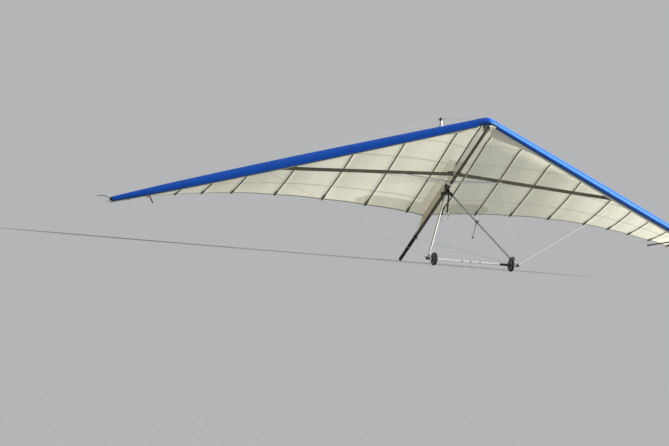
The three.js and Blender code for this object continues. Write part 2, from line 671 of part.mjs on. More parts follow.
// A long outline hanging down from the centre of its round upper end, the origin, to a flat end
function loopOutline(radius, length) {
  const outline = new THREE.Shape();
  outline.absarc(0, 0, radius, 0, Math.PI);
  outline.lineTo(-radius, -length);
  outline.lineTo(radius, -length);
  return outline;
}

// What is clamped to the left downtube: a thin arm, and a round instrument near the corner
function accessoryPieces() {
  const side = SIDES.left;
  const rod = downtubeRod(side);
  const way = rod.b.clone().sub(rod.a).normalize();
  const clampAt = step(apexOf(side), way, 740);
  const clamp = bar({ a: step(clampAt, way, -24), b: step(clampAt, way, 24), r: DOWNTUBE_RADIUS + 7 });
  const knob = clampAt.clone().add(vec(34, 0, 20));
  const tip = clampAt.clone().add(vec(-80, 100, -250));
  const arm = clamp
    .add(bar({ a: clampAt, b: knob, r: 15, sides: 12 }))
    .add(bar({ a: clampAt, b: tip, r: 7, sides: 10 }))
    .add(block(vec(34, 34, 12), tip));
  add("accessory_arm", arm.subtract(bar(rod, GAP)), "black");

  const podAt = step(rod.b, way, -140);
  const podClamp = bar({ a: step(podAt, way, -14), b: step(podAt, way, 14), r: DOWNTUBE_RADIUS + 6 });
  const face = podAt.clone().add(vec(48, 16, 6));
  const pod = bar({ a: face.clone().add(vec(0, -17, -8)), b: face.clone().add(vec(0, 17, 8)), r: 40, sides: 24 });
  const stalk = bar({ a: podAt, b: face, r: 9, sides: 10 });
  add("instrument_pod", podClamp.add(stalk).add(pod).subtract(bar(rod, GAP)), "black");
}

// Parking attitude: both wheels and the lower rim of the tail cap touch the floor.
const reachY = TAIL_CAP.to - FRAME.y;
const reachZ = -FRAME.z - TAIL_CAP.radius;
const parkingPitch = Math.atan2(reachZ, reachY) + Math.asin(WHEEL.radius / Math.hypot(reachY, reachZ));

keelPieces();
nosePieces();
noseCone();
for (const [name, side] of Object.entries(SIDES)) {
  wingPieces(name, side);
  tipPieces(name, side);
  wheelPieces(name, side);
}
crossbarCentrePiece();
kingpostPieces();
controlFramePieces();
keelPocket();
hangPieces(parkingPitch);
accessoryPieces();
for (const [name, ends] of Object.entries(wires)) add(name, bar(wireRod(ends)), "cable");

const glider = new THREE.Group();
glider.add(keelFrame);
keelFrame.rotation.x = -parkingPitch;
const cornerHeight = vec(0, FRAME.y, FRAME.z).applyAxisAngle(vec(1, 0, 0), -parkingPitch).z;
keelFrame.position.z = WHEEL.radius - cornerHeight;
glider.updateMatrixWorld(true);
const extent = new THREE.Box3().setFromObject(glider, true);
keelFrame.position.y = -(extent.min.y + extent.max.y) / 2;

export default glider;
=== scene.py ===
"""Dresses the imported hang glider: cloth, tubes, stays and fittings, a floor, lights and a camera.

Shapes are laid out in the keel's own frame, in metres: origin where the leading edges meet the keel,
x to the pilot's left, y along the keel to the tail, z up from the keel. world() places them.
"""

import json
import math

import bpy
import bmesh
from bpy.props import FloatProperty, FloatVectorProperty, PointerProperty
from mathutils import Matrix, Vector

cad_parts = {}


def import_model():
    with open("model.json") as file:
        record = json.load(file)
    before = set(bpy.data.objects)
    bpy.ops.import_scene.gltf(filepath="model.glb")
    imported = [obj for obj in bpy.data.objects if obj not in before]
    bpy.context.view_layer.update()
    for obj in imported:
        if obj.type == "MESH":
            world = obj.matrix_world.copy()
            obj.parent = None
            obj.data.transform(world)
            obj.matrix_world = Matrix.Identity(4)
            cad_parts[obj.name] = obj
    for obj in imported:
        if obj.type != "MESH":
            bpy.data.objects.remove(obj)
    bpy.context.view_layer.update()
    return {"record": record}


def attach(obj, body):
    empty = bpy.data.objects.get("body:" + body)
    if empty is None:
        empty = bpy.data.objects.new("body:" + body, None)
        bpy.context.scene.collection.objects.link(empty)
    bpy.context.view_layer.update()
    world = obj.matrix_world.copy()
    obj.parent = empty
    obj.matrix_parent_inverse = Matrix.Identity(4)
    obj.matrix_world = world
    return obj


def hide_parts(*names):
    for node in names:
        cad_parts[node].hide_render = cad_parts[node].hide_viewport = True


bl_info = {
    "name": "Hang glider",
    "version": (1, 0, 0),
    "blender": (4, 5, 0),
    "location": "3D View > Sidebar > Hang glider",
    "description": "Builds the cloth, tubes, stays and fittings of a kingposted hang glider",
    "category": "Object",
}

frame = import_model()

# The keel's frame, found from the mount on the keel's end
KEEL_REACH = 3.92
END_FACE = next(m for m in frame["record"]["mounts"] if m["name"] == "keel_end_face")
AFT = Vector(END_FACE["axis"]).normalized()
UP = Vector((0, -AFT.z, AFT.y))
NOSE = Vector(END_FACE["pos_m"]) - AFT * KEEL_REACH
SIDES = {"left": 1, "right": -1}

# Directions in the keel's frame, with plumb down and square to it
LEFTWARD, AFTWARD, UPWARD = Vector((1, 0, 0)), Vector((0, 1, 0)), Vector((0, 0, 1))
PLUMB = Vector((0, -AFT.z, -UP.z))
PLUMB_OUT = Vector((0, PLUMB.z, -PLUMB.y))


def world(p):
    return NOSE + Vector((p[0], 0, 0)) + AFT * p[1] + UP * p[2]


def on_side(p, side):
    """A point of the left half, or its mirror image on the right."""
    return Vector((side * p[0], p[1], p[2]))


# Sizes of the airframe, as in the part
HALF_SPAN = 5.5
NOSE_HALF_ANGLE = math.radians(61.6)
SLANT = math.tan(NOSE_HALF_ANGLE)
LEAD_ROOT_Z, LEAD_TIP_Z, LEAD_RADIUS = 0.105, 0.06, 0.024
KEEL_RADIUS = 0.025
CROSS_Y, CROSS_Z, CROSS_X, CROSS_SPAN, CROSS_RADIUS = 1.466, 0.057, 0.044, 3.316, 0.029
POST_FOOT, POST_TOP, POST_RADIUS = Vector((0, 1.83, 0.048)), Vector((0, 1.53, 1.23)), 0.019
POST_WAY = (POST_TOP - POST_FOOT).normalized()
APEX = Vector((0.034, 1.82, -0.062))
CORNER = Vector((0.8, 1.485, -1.68))
DOWNTUBE_RADIUS, BASE_RADIUS = 0.016, 0.0145
WHEEL_X, WHEEL_RADIUS = 0.69, 0.105
HANG_PIN = Vector((0, 1.888, -0.062))
REAR_Y, REAR_RADIUS = 3.225, 0.033
# Top of the leading edge tubes at the nose, where its upper plate lies
NOSE_TOP = LEAD_ROOT_Z + LEAD_RADIUS + 0.0003
# How far the leading edge tubes end short of the tips, and the downtubes short of the corners
TIP_INSET, LEG_INSET = 0.034, 0.034
# Bore of everything that is clamped or slipped on a downtube
LEG_BORE = 0.0164
# The crossbar's outer tab, in from the leading edge tube, and its two wire holes below and above
TAB_INSET, TAB_HOLES = 0.044, (-0.046, 0.05)
# How far out from the corner's middle its wire tab stands
CORNER_TAB = 0.016
# Distance from the keel at which the washout struts meet the sail
STRUT_X = 4.6
# How far down the left downtube the accessory arm is clamped
ARM_RUN = 0.74
# Half the distance between the hang straps, their width, and the side and length of each
HANG_SPREAD, STRAP_WIDE = 0.046, 0.0255
HANG_STRAPS = (("main", 1, 0.3), ("backup", -1, 0.35))

# Stations across one half of the sail. Battens stand at all but the first two and the last.
# x, trailing edge y and z, half height of the rounded front, depth of the lower flap, camber
STATIONS = (
    (0.0, 2.84, 0.165, 0.1, 0.13, 0.02),
    (0.1505, 2.812, 0.172, 0.1, 0.13, 0.023),
    (0.305, 2.795, 0.183, 0.103, 0.4, 0.029),
    (1.017, 2.87, 0.304, 0.122, 0.33, 0.053),
    (1.74, 2.976, 0.422, 0.132, 0.23, 0.069),
    (2.535, 3.097, 0.517, 0.14, 0.17, 0.088),
    (3.27, 3.19, 0.546, 0.138, 0.16, 0.077),
    (3.77, 3.275, 0.545, 0.13, 0.155, 0.07),
    (4.21, 3.36, 0.54, 0.119, 0.15, 0.062),
    (4.66, 3.46, 0.525, 0.102, 0.145, 0.055),
    (5.0, 3.47, 0.44, 0.082, 0.14, 0.045),
    (5.3, 3.38, 0.31, 0.058, 0.135, 0.035),
    (5.5, 3.24, 0.19, 0.042, 0.13, 0.025),
)
BATTENS = [row[0] for row in STATIONS[2:-1]]
NOSE_LEAN = math.radians(60)
CAMBER_PEAK, CAMBER_FADE = 0.25, 1.2
# Where the leading edge cloth starts beside the nose cone, and how much the cone is larger
CLOTH_ROOT_X, CONE_GROW = STATIONS[1][0], 0.006
# Depths behind the leading edge line at which the sail's skin starts and the pocket's floor ends
SKIN_FROM, POCKET_DEPTH = 0.11, 0.09
# Degree at which the rounded front ends below, and how far on to the floor the pocket's seam lies
ROUND_END, POCKET_SEAM = 200, 0.6
# Half width and height of the ridge that each batten raises in the sail
BATTEN_HALF_WIDE, BATTEN_RIDGE = 0.012, 0.006
# Radius of the kingpost's hole, and the share of the chord at which its rows run on across the sail
POST_HOLE, POST_ROWS_SHARE = 0.031, 0.634
# Where the short batten along the centre seam starts and ends, from the nose
ROOT_BATTEN = (0.2, 1.37)
# Battens whose ends the luff lines hold up, from the keel outwards
LUFF_BATTENS = BATTENS[1:4]
# Front and low rear end of the keel pocket's fin, and the radius of its fold round the keel
FIN_FRONT, FIN_LOW_END, FIN_FOLD = 1.915, 3.12, 0.0285


# ---- Sail shape ----


def slopes(column):
    """Slopes at the stations that keep the curve through one column free of overshoot."""
    xs = [row[0] for row in STATIONS]
    ys = [row[column] for row in STATIONS]
    rises = [(b - a) / (q - p) for a, b, p, q in zip(ys, ys[1:], xs, xs[1:])]
    inner = [0 if a * b <= 0 else 2 * a * b / (a + b) for a, b in zip(rises, rises[1:])]
    return [rises[0], *inner, rises[-1]]


SLOPES = {column: slopes(column) for column in range(1, 6)}


class Station:
    """The sail's section at a distance x from the keel."""

    def __init__(self, x):
        self.x = x
        xs = [row[0] for row in STATIONS]
        i = max(k for k in range(len(xs) - 1) if xs[k] <= x + 1e-9)
        width = xs[i + 1] - xs[i]
        s = (x - xs[i]) / width
        mixed = [
            STATIONS[i][c] * (1 + 2 * s) * (1 - s) ** 2
            + STATIONS[i + 1][c] * s * s * (3 - 2 * s)
            + width * (SLOPES[c][i] * s * (1 - s) ** 2 - SLOPES[c][i + 1] * s * s * (1 - s))
            for c in range(1, 6)
        ]
        self.te_y, self.te_z, self.nose, self.flap, self.camber = mixed
        self.front = x / SLANT
        self.lead_z = LEAD_ROOT_Z + (LEAD_TIP_Z - LEAD_ROOT_Z) * x / HALF_SPAN
        self.chord = self.te_y - self.front
        self.bay = bay_share(x)

    def height(self, t):
        """Height of the sail at a share t of the chord."""
        rise = t / CAMBER_PEAK
        bow = rise * (2 - rise) if t < CAMBER_PEAK else (max(1 - t, 0) / (1 - CAMBER_PEAK)) ** CAMBER_FADE
        flat = self.lead_z * (1 - t) + self.te_z * t
        return flat + 0.5 * self.nose * (1 - t) ** 3 + self.camber * self.chord * bow

    def skin(self, depth):
        """A point of the sail at a depth behind the leading edge line."""
        return Vector((self.x, self.front + depth, self.height(depth / self.chord)))

    def rounded(self, degrees, grow=0.0, front=None):
        """A point of the rounded front, from the top at 40 to the underside at 200 degrees."""
        angle = math.radians(degrees)
        up = (self.nose + grow) * math.cos(angle)
        out = (0.022 + 0.2 * self.nose + grow) * math.sin(angle)
        ahead = out * math.sin(NOSE_LEAN) - up * math.cos(NOSE_LEAN)
        rise = up * math.sin(NOSE_LEAN) + out * math.cos(NOSE_LEAN)
        y = (self.front if front is None else front) - ahead / math.sin(NOSE_HALF_ANGLE)
        return Vector((self.x, y, self.lead_z + rise))

    def front_top(self, s, depth=SKIN_FROM, grow=0.0, front=None):
        """From the rounded front at s = 0 up and back to the sail's skin at s = 1."""
        a, near = self.rounded(62, grow, front), self.rounded(52, grow, front)
        shift = Vector((0, 0 if front is None else front - self.front, grow))
        b, far = self.skin(depth) + shift, self.skin(depth + 0.01) + shift
        reach = (b - a).length
        da, db = (near - a).normalized() * reach, (far - b).normalized() * reach
        return (
            a * (2 * s**3 - 3 * s * s + 1)
            + b * (3 * s * s - 2 * s**3)
            + da * (s**3 - 2 * s * s + s)
            + db * (s**3 - s * s)
        )

    def floor(self, depth):
        """The underside behind the rounded front, up to where the flap meets the sail."""
        low = self.lead_z - 0.5 * self.nose
        joined = self.height(self.flap / self.chord) - 0.004
        z = low + (joined - low) * (depth - POCKET_DEPTH) / (self.flap - POCKET_DEPTH)
        return Vector((self.x, self.front + depth, z))


def bay_share(x):
    """0 at a batten and 1 halfway between two."""
    marks = [0.0, *BATTENS, HALF_SPAN]
    i = max(k for k in range(len(marks) - 1) if marks[k] <= x + 1e-9)
    s = (x - marks[i]) / (marks[i + 1] - marks[i])
    return 4 * s * (1 - s)


def lead_point(x, side):
    return Vector((side * x, x / SLANT, LEAD_ROOT_Z + (LEAD_TIP_Z - LEAD_ROOT_Z) * x / HALF_SPAN))


LEAD_WAY = {side: (lead_point(HALF_SPAN, side) - lead_point(0, side)).normalized() for side in (1, -1)}


def spread(low, high, count):
    return [low + (high - low) * (i / (count - 1)) for i in range(count)]


def around(count):
    """The angles of a full turn in equal steps."""
    return [2 * math.pi * k / count for k in range(count)]


# Width of a usual bay between two battens, and how far a batten's edges lie from its middle
USUAL_BAY, BATTEN_EDGE = 0.72, 0.014


def cloth_columns(start, fine=9):
    """Distances from the keel at which the cloth has a column: every batten, its edges and between."""
    marks = sorted({start, *[b for b in [CLOTH_ROOT_X, *BATTENS] if b > start], HALF_SPAN})
    columns = []
    for a, b in zip(marks, marks[1:]):
        steps = max(3, round((b - a) / USUAL_BAY * fine))
        columns += [a + (b - a) * k / steps for k in range(steps)]
        columns += [b - BATTEN_EDGE] if b in BATTENS else []
        columns += [a + BATTEN_EDGE] if a in BATTENS else []
    return sorted({round(x, 5) for x in [*columns, HALF_SPAN]})


def shares_along(column):
    """How far along the column each of its points lies, from 0 to 1."""
    runs = [0.0]
    for p, q in zip(column, column[1:]):
        runs.append(runs[-1] + (q - p).length)
    return [run / runs[-1] for run in runs]


# ---- Forms ----


def square(way):
    """Two directions square to way and to each other."""
    way = Vector(way).normalized()
    across = way.cross(UPWARD)
    if across.length < 1e-3:
        across = way.cross(AFTWARD)
    across.normalize()
    return across, across.cross(way)


# How far the edges of tubes and plates are broken
BROKEN = 0.0008


class Form:
    """Gathers the faces of one piece in the keel's frame."""

    def __init__(self):
        self.points, self.faces, self.paints, self.along = [], [], [], []
        self.paint = 0

    def loft(self, rings, loop=False, along=None):
        """Joins rings into a skin with closed ends, or in a loop. along is how far on each ring lies."""
        start, count = len(self.points), len(rings[0])
        faces = []
        for r in range(len(rings) if loop else len(rings) - 1):
            here, there = r * count, (r + 1) % len(rings) * count
            for i in range(count):
                j = (i + 1) % count
                faces.append((here + i, here + j, there + j, there + i))
        if not loop:
            last = (len(rings) - 1) * count
            faces += [tuple(reversed(range(count))), tuple(range(last, last + count))]
        self.points += [p for ring in rings for p in ring]
        self.faces += [[start + i for i in face] for face in faces]
        self.paints += [self.paint] * len(faces)
        self.along += [run for run in along or [0.0] * len(rings) for _ in range(count)]
        return self

    def tube(self, path, radius, sides, oval=1.0):
        """A round bar along a path. radius is one number or one for each point."""
        path = [Vector(p) for p in path]
        radii = [radius] * len(path) if isinstance(radius, (int, float)) else list(radius)
        for end, following in ((0, 1), (-1, -2)):
            way = (path[following] - path[end]).normalized()
            at = 1 if end == 0 else len(path) - 1
            path.insert(at, path[end] + way * BROKEN)
            radii.insert(at, radii[end])
        radii[0] -= BROKEN
        radii[-1] -= BROKEN
        turns = around(sides)
        rings, runs, run, across = [], [], 0.0, None
        for i, p in enumerate(path):
            before, after = path[max(i - 1, 0)], path[min(i + 1, len(path) - 1)]
            way = (after - before).normalized()
            if across is None:
                across, rise = square(way)
            else:
                across = (across - way * across.dot(way)).normalized()
                rise = across.cross(way)
            run += (p - before).length
            rings.append([p + (across * math.cos(a) * oval + rise * math.sin(a)) * radii[i] for a in turns])
            runs.append(run)
        return self.loft(rings, along=runs)

    def ring(self, path, radius, sides):
        """A closed loop of round wire."""
        path = [Vector(p) for p in path]
        normal = sum(((a - path[0]).cross(b - path[0]) for a, b in zip(path[1:], path[2:])), Vector())
        normal.normalize()
        rings = []
        for i, p in enumerate(path):
            way = (path[(i + 1) % len(path)] - path[i - 1]).normalized()
            out = way.cross(normal)
            rings.append([p + (out * math.cos(a) + normal * math.sin(a)) * radius for a in around(sides)])
        return self.loft(rings, loop=True)

    def turned(self, centre, way, profile, sides, loop=False):
        """A profile of (distance along way, radius) pairs turned about way."""
        way = Vector(way).normalized()
        across, rise = square(way)
        out = [across * math.cos(a) + rise * math.sin(a) for a in around(sides)]
        return self.loft([[Vector(centre) + way * d + o * r for o in out] for d, r in profile], loop=loop)

    def sleeve(self, centre, way, length, bore, radius, edge=(0, 0), sides=28):
        """A short pipe from centre along way. Its outer corners are broken by edge, along and inwards."""
        run, drop = edge
        outside = [(run, radius), (length - run, radius)]
        if run:
            outside = [(0, radius - drop), *outside, (length, radius - drop)]
        return self.turned(centre, way, [(0, bore), *outside, (length, bore)], sides, loop=True)

    def slab(self, outline, origin, u, v, thick, edge=BROKEN):
        """A flat outline in directions u and v, thick towards u x v, with its edges broken."""
        u, v = Vector(u), Vector(v)
        w = u.cross(v)
        origin = Vector(origin)
        if sum(a[0] * b[1] - b[0] * a[1] for a, b in zip(outline, outline[1:] + outline[:1])) < 0:
            outline = outline[::-1]
        inner = inset(outline, edge)
        levels = ((inner, 0), (outline, edge), (outline, thick - edge), (inner, thick))
        return self.loft([[origin + u * x + v * y + w * z for x, y in shape] for shape, z in levels])

    def cheek(self, outline, centre, thick):
        """An upright plate centred on a point, whose outline runs aft and up from there."""
        return self.slab(outline, Vector(centre) - LEFTWARD * (thick / 2), AFTWARD, UPWARD, thick)

    def block(self, size, centre, u=LEFTWARD, v=AFTWARD, edge=0.0012):
        x, y, z = size[0] / 2, size[1] / 2, size[2]
        u, v = Vector(u).normalized(), Vector(v).normalized()
        origin = Vector(centre) - u.cross(v) * z / 2
        return self.slab([(-x, -y), (x, -y), (x, y), (-x, y)], origin, u, v, z, edge)

    def bolt(self, at, way, radius):
        """A washer and a hexagon head, standing on the point at, outwards along way."""
        r = radius
        self.turned(at, way, [(0, 2.1 * r), (0.3 * r, 2.2 * r), (0.35 * r, 2 * r)], 20)
        head = [(0.35 * r, 1.6 * r), (0.45 * r, 1.75 * r), (1.5 * r, 1.75 * r), (1.7 * r, 1.5 * r)]
        self.turned(at, way, head, 6)
        return self.turned(at, way, [(1.6 * r, r), (2.1 * r, r), (2.3 * r, 0.8 * r)], 12)

    def pin(self, centre, reach, radius):
        """A bolt right through centre, with a head on one side and a nut on the other."""
        centre, reach = Vector(centre), Vector(reach)
        a, b, way = centre - reach, centre + reach, reach.normalized()
        self.tube([a, b], radius, 12)
        return self.bolt(a, -way, radius).bolt(b, way, radius)

    def strap(self, path, wide, thick):
        """A flat band along a path, with its width from side to side and its edges thinned."""
        soft = 0.86
        rings, runs, run = [], [], 0.0
        for i, p in enumerate(path):
            before, after = path[max(i - 1, 0)], path[min(i + 1, len(path) - 1)]
            way = (after - before).normalized()
            side = (LEFTWARD - way * way.x).normalized() * wide / 2
            out = side.normalized().cross(way) * thick / 2
            run += (p - before).length
            rings.append([
                p - side, p - side * soft + out, p + side * soft + out,
                p + side, p + side * soft - out, p - side * soft - out,
            ])
            runs.append(run)
        return self.loft(rings, along=runs)


def inset(outline, edge):
    """The outline moved inwards by edge."""
    moved = []
    for i, (x, y) in enumerate(outline):
        a, b = outline[i - 1], outline[(i + 1) % len(outline)]
        p, q = Vector((x - a[0], y - a[1])).normalized(), Vector((b[0] - x, b[1] - y)).normalized()
        n = Vector((-p.y - q.y, p.x + q.x))
        n = n.normalized() if n.length > 1e-6 else Vector((-p.y, p.x))
        reach = edge / max(0.35, n.dot(Vector((-p.y, p.x))))
        moved.append((x + n.x * reach, y + n.y * reach))
    return moved


def mirrored(profile):
    """A profile or half outline, and then its mirror image on the way back."""
    return [*profile, *((-a, b) for a, b in reversed(profile))]


class Cut:
    """The points of one sheet, column by column, with values at them for its finish to read."""

    def __init__(self):
        self.columns, self.values = [], {}

    def add(self, column, **values):
        """Adds a column. A value is one number for all of it, or one for each point."""
        self.columns.append(column)
        for key, value in values.items():
            row = value if isinstance(value, list) else [value] * len(column)
            self.values.setdefault(key, []).append(row)

    def turned_over(self):
        """The same cut with its faces looking the other way."""
        over = Cut()
        over.columns = [column[::-1] for column in self.columns]
        over.values = {key: [row[::-1] for row in rows] for key, rows in self.values.items()}
        return over

    def declare(self):
        """Measures the sheet's flat width, length and area along the cut, and does nothing with them."""

        def length(line):
            return sum((q - p).length for p, q in zip(line, line[1:]))

        area = 0.0
        for a, b in zip(self.columns, self.columns[1:]):
            for p, q, r, t in zip(a, b, b[1:], a[1:]):
                area += (q - p).cross(r - p).length / 2 + (r - p).cross(t - p).length / 2
        wide = max(length(column) for column in self.columns)
        long = max(length([column[end] for column in self.columns]) for end in (0, -1))


def finished(mesh, name, body, instead_of, paints):
    """Makes a mesh into an object with its finishes, hangs it on its body, and hides the parts it stands in
    for.
    """
    for paint in paints:
        mesh.materials.append(finish(paint))
    thing = bpy.data.objects.new(name, mesh)
    bpy.context.scene.collection.objects.link(thing)
    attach(thing, body)
    if instead_of:
        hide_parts(*instead_of)
    return thing


# Edges that turn by more than this stay crisp
SHARP = math.radians(32)


def piece(name, form, paints, instead_of=(), body="root"):
    """Makes a form into an object. Its faces carry the numbers of their paints."""
    mesh = bpy.data.meshes.new(name)
    mesh.from_pydata([world(p) for p in form.points], [], form.faces)
    mesh.attributes.new("along", "FLOAT", "POINT").data.foreach_set("value", form.along)
    mesh.polygons.foreach_set("material_index", form.paints)
    work = bmesh.new()
    work.from_mesh(mesh)
    bmesh.ops.recalc_face_normals(work, faces=work.faces)
    for face in work.faces:
        face.smooth = True
    for edge in work.edges:
        edge.smooth = len(edge.link_faces) != 2 or edge.calc_face_angle(0) < SHARP
    work.to_mesh(mesh)
    work.free()
    return finished(mesh, name, body, instead_of, paints)


def cloth(name, cut, side, paints, instead_of=()):
    """Makes a cut into an object on the given side."""
    rows = len(cut.columns[0])
    points = [world(on_side(p, side)) for column in cut.columns for p in column]
    faces = []
    for c in range(len(cut.columns) - 1):
        for r in range(rows - 1):
            a = c * rows + r
            quad = (a, a + rows, a + rows + 1, a + 1)
            faces.append(quad if side > 0 else quad[::-1])
    mesh = bpy.data.meshes.new(name)
    mesh.from_pydata(points, [], faces)
    for key, table in cut.values.items():
        flat = [value for row in table for value in row]
        mesh.attributes.new(key, "FLOAT", "POINT").data.foreach_set("value", flat)
    mesh.polygons.foreach_set("use_smooth", [True] * len(faces))
    return finished(mesh, name, "root", instead_of, paints)


# ---- Finishes ----


class Wire:
    """A node's socket that takes part in Python sums."""

    def __init__(self, graph, socket):
        self.graph, self.socket = graph, socket

    def __add__(self, other):
        return self.graph.math("ADD", self, other)

    def __sub__(self, other):
        return self.graph.math("SUBTRACT", self, other)

    def __rsub__(self, other):
        return self.graph.math("SUBTRACT", other, self)

    def __mul__(self, other):
        return self.graph.math("MULTIPLY", self, other)

    def __truediv__(self, other):
        return self.graph.math("DIVIDE", self, other)

    def __mod__(self, other):
        return self.graph.math("FLOORED_MODULO", self, other)

    __radd__ = __add__
    __rmul__ = __mul__


class Graph:
    """The nodes of one material."""

    def __init__(self, name):
        self.material = bpy.data.materials.new(name)
        self.material.use_nodes = True
        self.tree = self.material.node_tree
        self.tree.nodes.clear()
        self.place = self.node("ShaderNodeTexCoord", output="Object")

    def node(self, kind, settings=None, values=None, output=0):
        made = self.tree.nodes.new(kind)
        for key, value in (settings or {}).items():
            setattr(made, key, value)
        for key, value in (values or {}).items():
            if isinstance(value, Wire):
                self.tree.links.new(value.socket, made.inputs[key])
            else:
                made.inputs[key].default_value = value
        return Wire(self, made.outputs[output])

    def math(self, operation, *values):
        return self.node("ShaderNodeMath", {"operation": operation}, dict(enumerate(values)))

    def value(self, name):
        return self.node("ShaderNodeAttribute", {"attribute_name": name}, output="Fac")

    def step(self, value, low, high):
        """0 below low, 1 above high, smooth between."""
        settings = {"interpolation_type": "SMOOTHSTEP"}
        return self.node("ShaderNodeMapRange", settings, {0: value, 1: low, 2: high})

    def band(self, value, centre, half, soft=0.004):
        """1 within half of the centre."""
        away = self.math("ABSOLUTE", value - centre)
        return 1 - self.step(away, half, half + soft)

    def mix(self, share, a, b):
        colours = {6: a, 7: b}
        colours = {k: c if isinstance(c, Wire) else (*c[:3], 1) for k, c in colours.items()}
        return self.node("ShaderNodeMix", {"data_type": "RGBA"}, {0: share, **colours}, 2)

    def noise(self, scale, detail, vector=None):
        values = {"Vector": vector or self.place, "Scale": scale, "Detail": detail, "Roughness": 0.55}
        return self.node("ShaderNodeTexNoise", {}, values)

    def vector(self, x, y, z):
        return self.node("ShaderNodeCombineXYZ", {}, {0: x, 1: y, 2: z})

    def bump(self, height, under=None):
        """Height is in metres. It lies on top of the relief under it."""
        values = {"Height": height, "Distance": 1.0}
        if under:
            values["Normal"] = under
        return self.node("ShaderNodeBump", {}, values)

    def surface(self, through=None, share=0.0, **sockets):
        """The shader. through is the colour of light that comes through the cloth, in that share."""
        values = {key.replace("_", " "): value for key, value in sockets.items()}
        for key, value in values.items():
            if key == "Base Color" and not isinstance(value, Wire):
                values[key] = (*value[:3], 1)
        shader = self.node("ShaderNodeBsdfPrincipled", {}, values)
        if through:
            glow = {"Color": (*through[:3], 1)}
            if "Normal" in values:
                glow["Normal"] = values["Normal"]
            back = self.node("ShaderNodeBsdfTranslucent", {}, glow)
            shader = self.node("ShaderNodeMixShader", {}, {0: share, 1: shader, 2: back})
        out = self.tree.nodes.new("ShaderNodeOutputMaterial")
        self.tree.links.new(shader.socket, out.inputs["Surface"])
        return self.material


def wrinkles(g, span, aft, amount):
    """Tension lines that run back from the leading edge, and a soft unevenness."""
    lines = g.noise(1.0, 1.0, g.vector(span * 5, aft * 0.7, 3.7))
    soft = g.noise(1.3, 1.0)
    weave = g.noise(420.0, 1.0)
    return g.bump(lines * amount + soft * (1.5 * amount) + weave * 0.00012)


def panel_seams(g, spacing, distance, width):
    """1 on the overlapped seams, which lie a spacing apart."""
    near = g.math("ABSOLUTE", (distance + spacing / 2) % spacing - spacing / 2)
    return 1 - g.step(near, width, width + 0.003)


# Width of the sail's panels, and how far the first one is cut back at the trailing edge
PANEL_WIDE, PANEL_SHIFT = 0.5, 0.07
# The trailing edge patch: its depth, where it starts to narrow and where it ends, from the keel
PATCH_DEPTH, PATCH_BEND, PATCH_END = 0.32, 1.04, 1.17


def sail_finish(g):
    look = bpy.context.scene.hang_glider
    colour = tuple(look.sail_colour)
    dim = [c * k for c, k in zip(colour, (0.86, 0.85, 0.82))]
    olive = [c * k for c, k in zip(colour, (0.7, 0.67, 0.55))]
    span, aft, te, batten = (g.value(k) for k in ("span", "aft", "from_te", "to_batten"))
    # Panels run across the sail, each a shade of its own
    seams = panel_seams(g, PANEL_WIDE, te + PANEL_SHIFT, 0.011)
    panel = g.math("FLOOR", (te + PANEL_SHIFT) / PANEL_WIDE)
    shade = g.node("ShaderNodeTexWhiteNoise", {"noise_dimensions": "1D"}, {"W": panel})
    # A patch along the trailing edge that narrows to a point, one along the root, tabs at the battens
    top = PATCH_DEPTH - g.math("MAXIMUM", span - PATCH_BEND, 0.0) * 0.8
    edge_patch = g.step(top - te, 0.0, 0.006) * g.step(te - (span - PATCH_END) * 2.3, 0.0, 0.006)
    root_patch = (1 - g.step(span, 0.15, 0.155)) * g.step(aft + span * 0.6, 1.27, 1.276)
    patches = g.math("MAXIMUM", edge_patch, root_patch)
    tabs = (1 - g.step(batten, 0.026, 0.03)) * (1 - g.step(te + batten * 3, 0.2, 0.21))
    worn = g.noise(2.3, 4.0)
    base = g.mix(shade * 0.35 + worn * 0.3, colour, [c * 0.93 for c in colour])
    base = g.mix(g.step(worn, 0.56, 0.75) * 0.25, base, dim)
    base = g.mix(seams * 0.5, base, dim)
    base = g.mix(patches * 0.9, base, olive)
    base = g.mix(tabs * 0.8, base, [c * 0.6 for c in olive])
    tip = g.band(span, 5.27, 0.13) * g.band(aft, 0.2, 0.07)
    base = g.mix(tip * 0.8, base, (0.92, 0.93, 0.92))
    cover = g.math("MAXIMUM", g.math("MAXIMUM", patches * 0.35, tabs), seams * 0.6)
    share = (1 - cover) * look.sail_glow + 0.06
    normal = wrinkles(g, span, aft, 0.005)
    normal = g.bump(seams * 0.0007 + patches * 0.0006, normal)
    through = (0.98, 0.96, 0.78)
    return g.surface(through, share, Base_Color=base, Roughness=0.62, Normal=normal, Sheen_Weight=0.15)


def flap_finish(g):
    colour = tuple(bpy.context.scene.hang_glider.sail_colour)
    span, aft = g.value("span"), g.value("aft")
    worn = g.noise(3.0, 4.0)
    hem = g.step(g.value("across"), 0.94, 0.95)
    base = g.mix(worn * 0.5, [c * 0.86 for c in colour], [c * 0.72 for c in colour])
    base = g.mix(hem * 0.6, base, [c * 0.5 for c in colour])
    normal = wrinkles(g, span, aft, 0.004)
    return g.surface((0.95, 0.88, 0.7), 0.2, Base_Color=base, Roughness=0.6, Normal=normal)


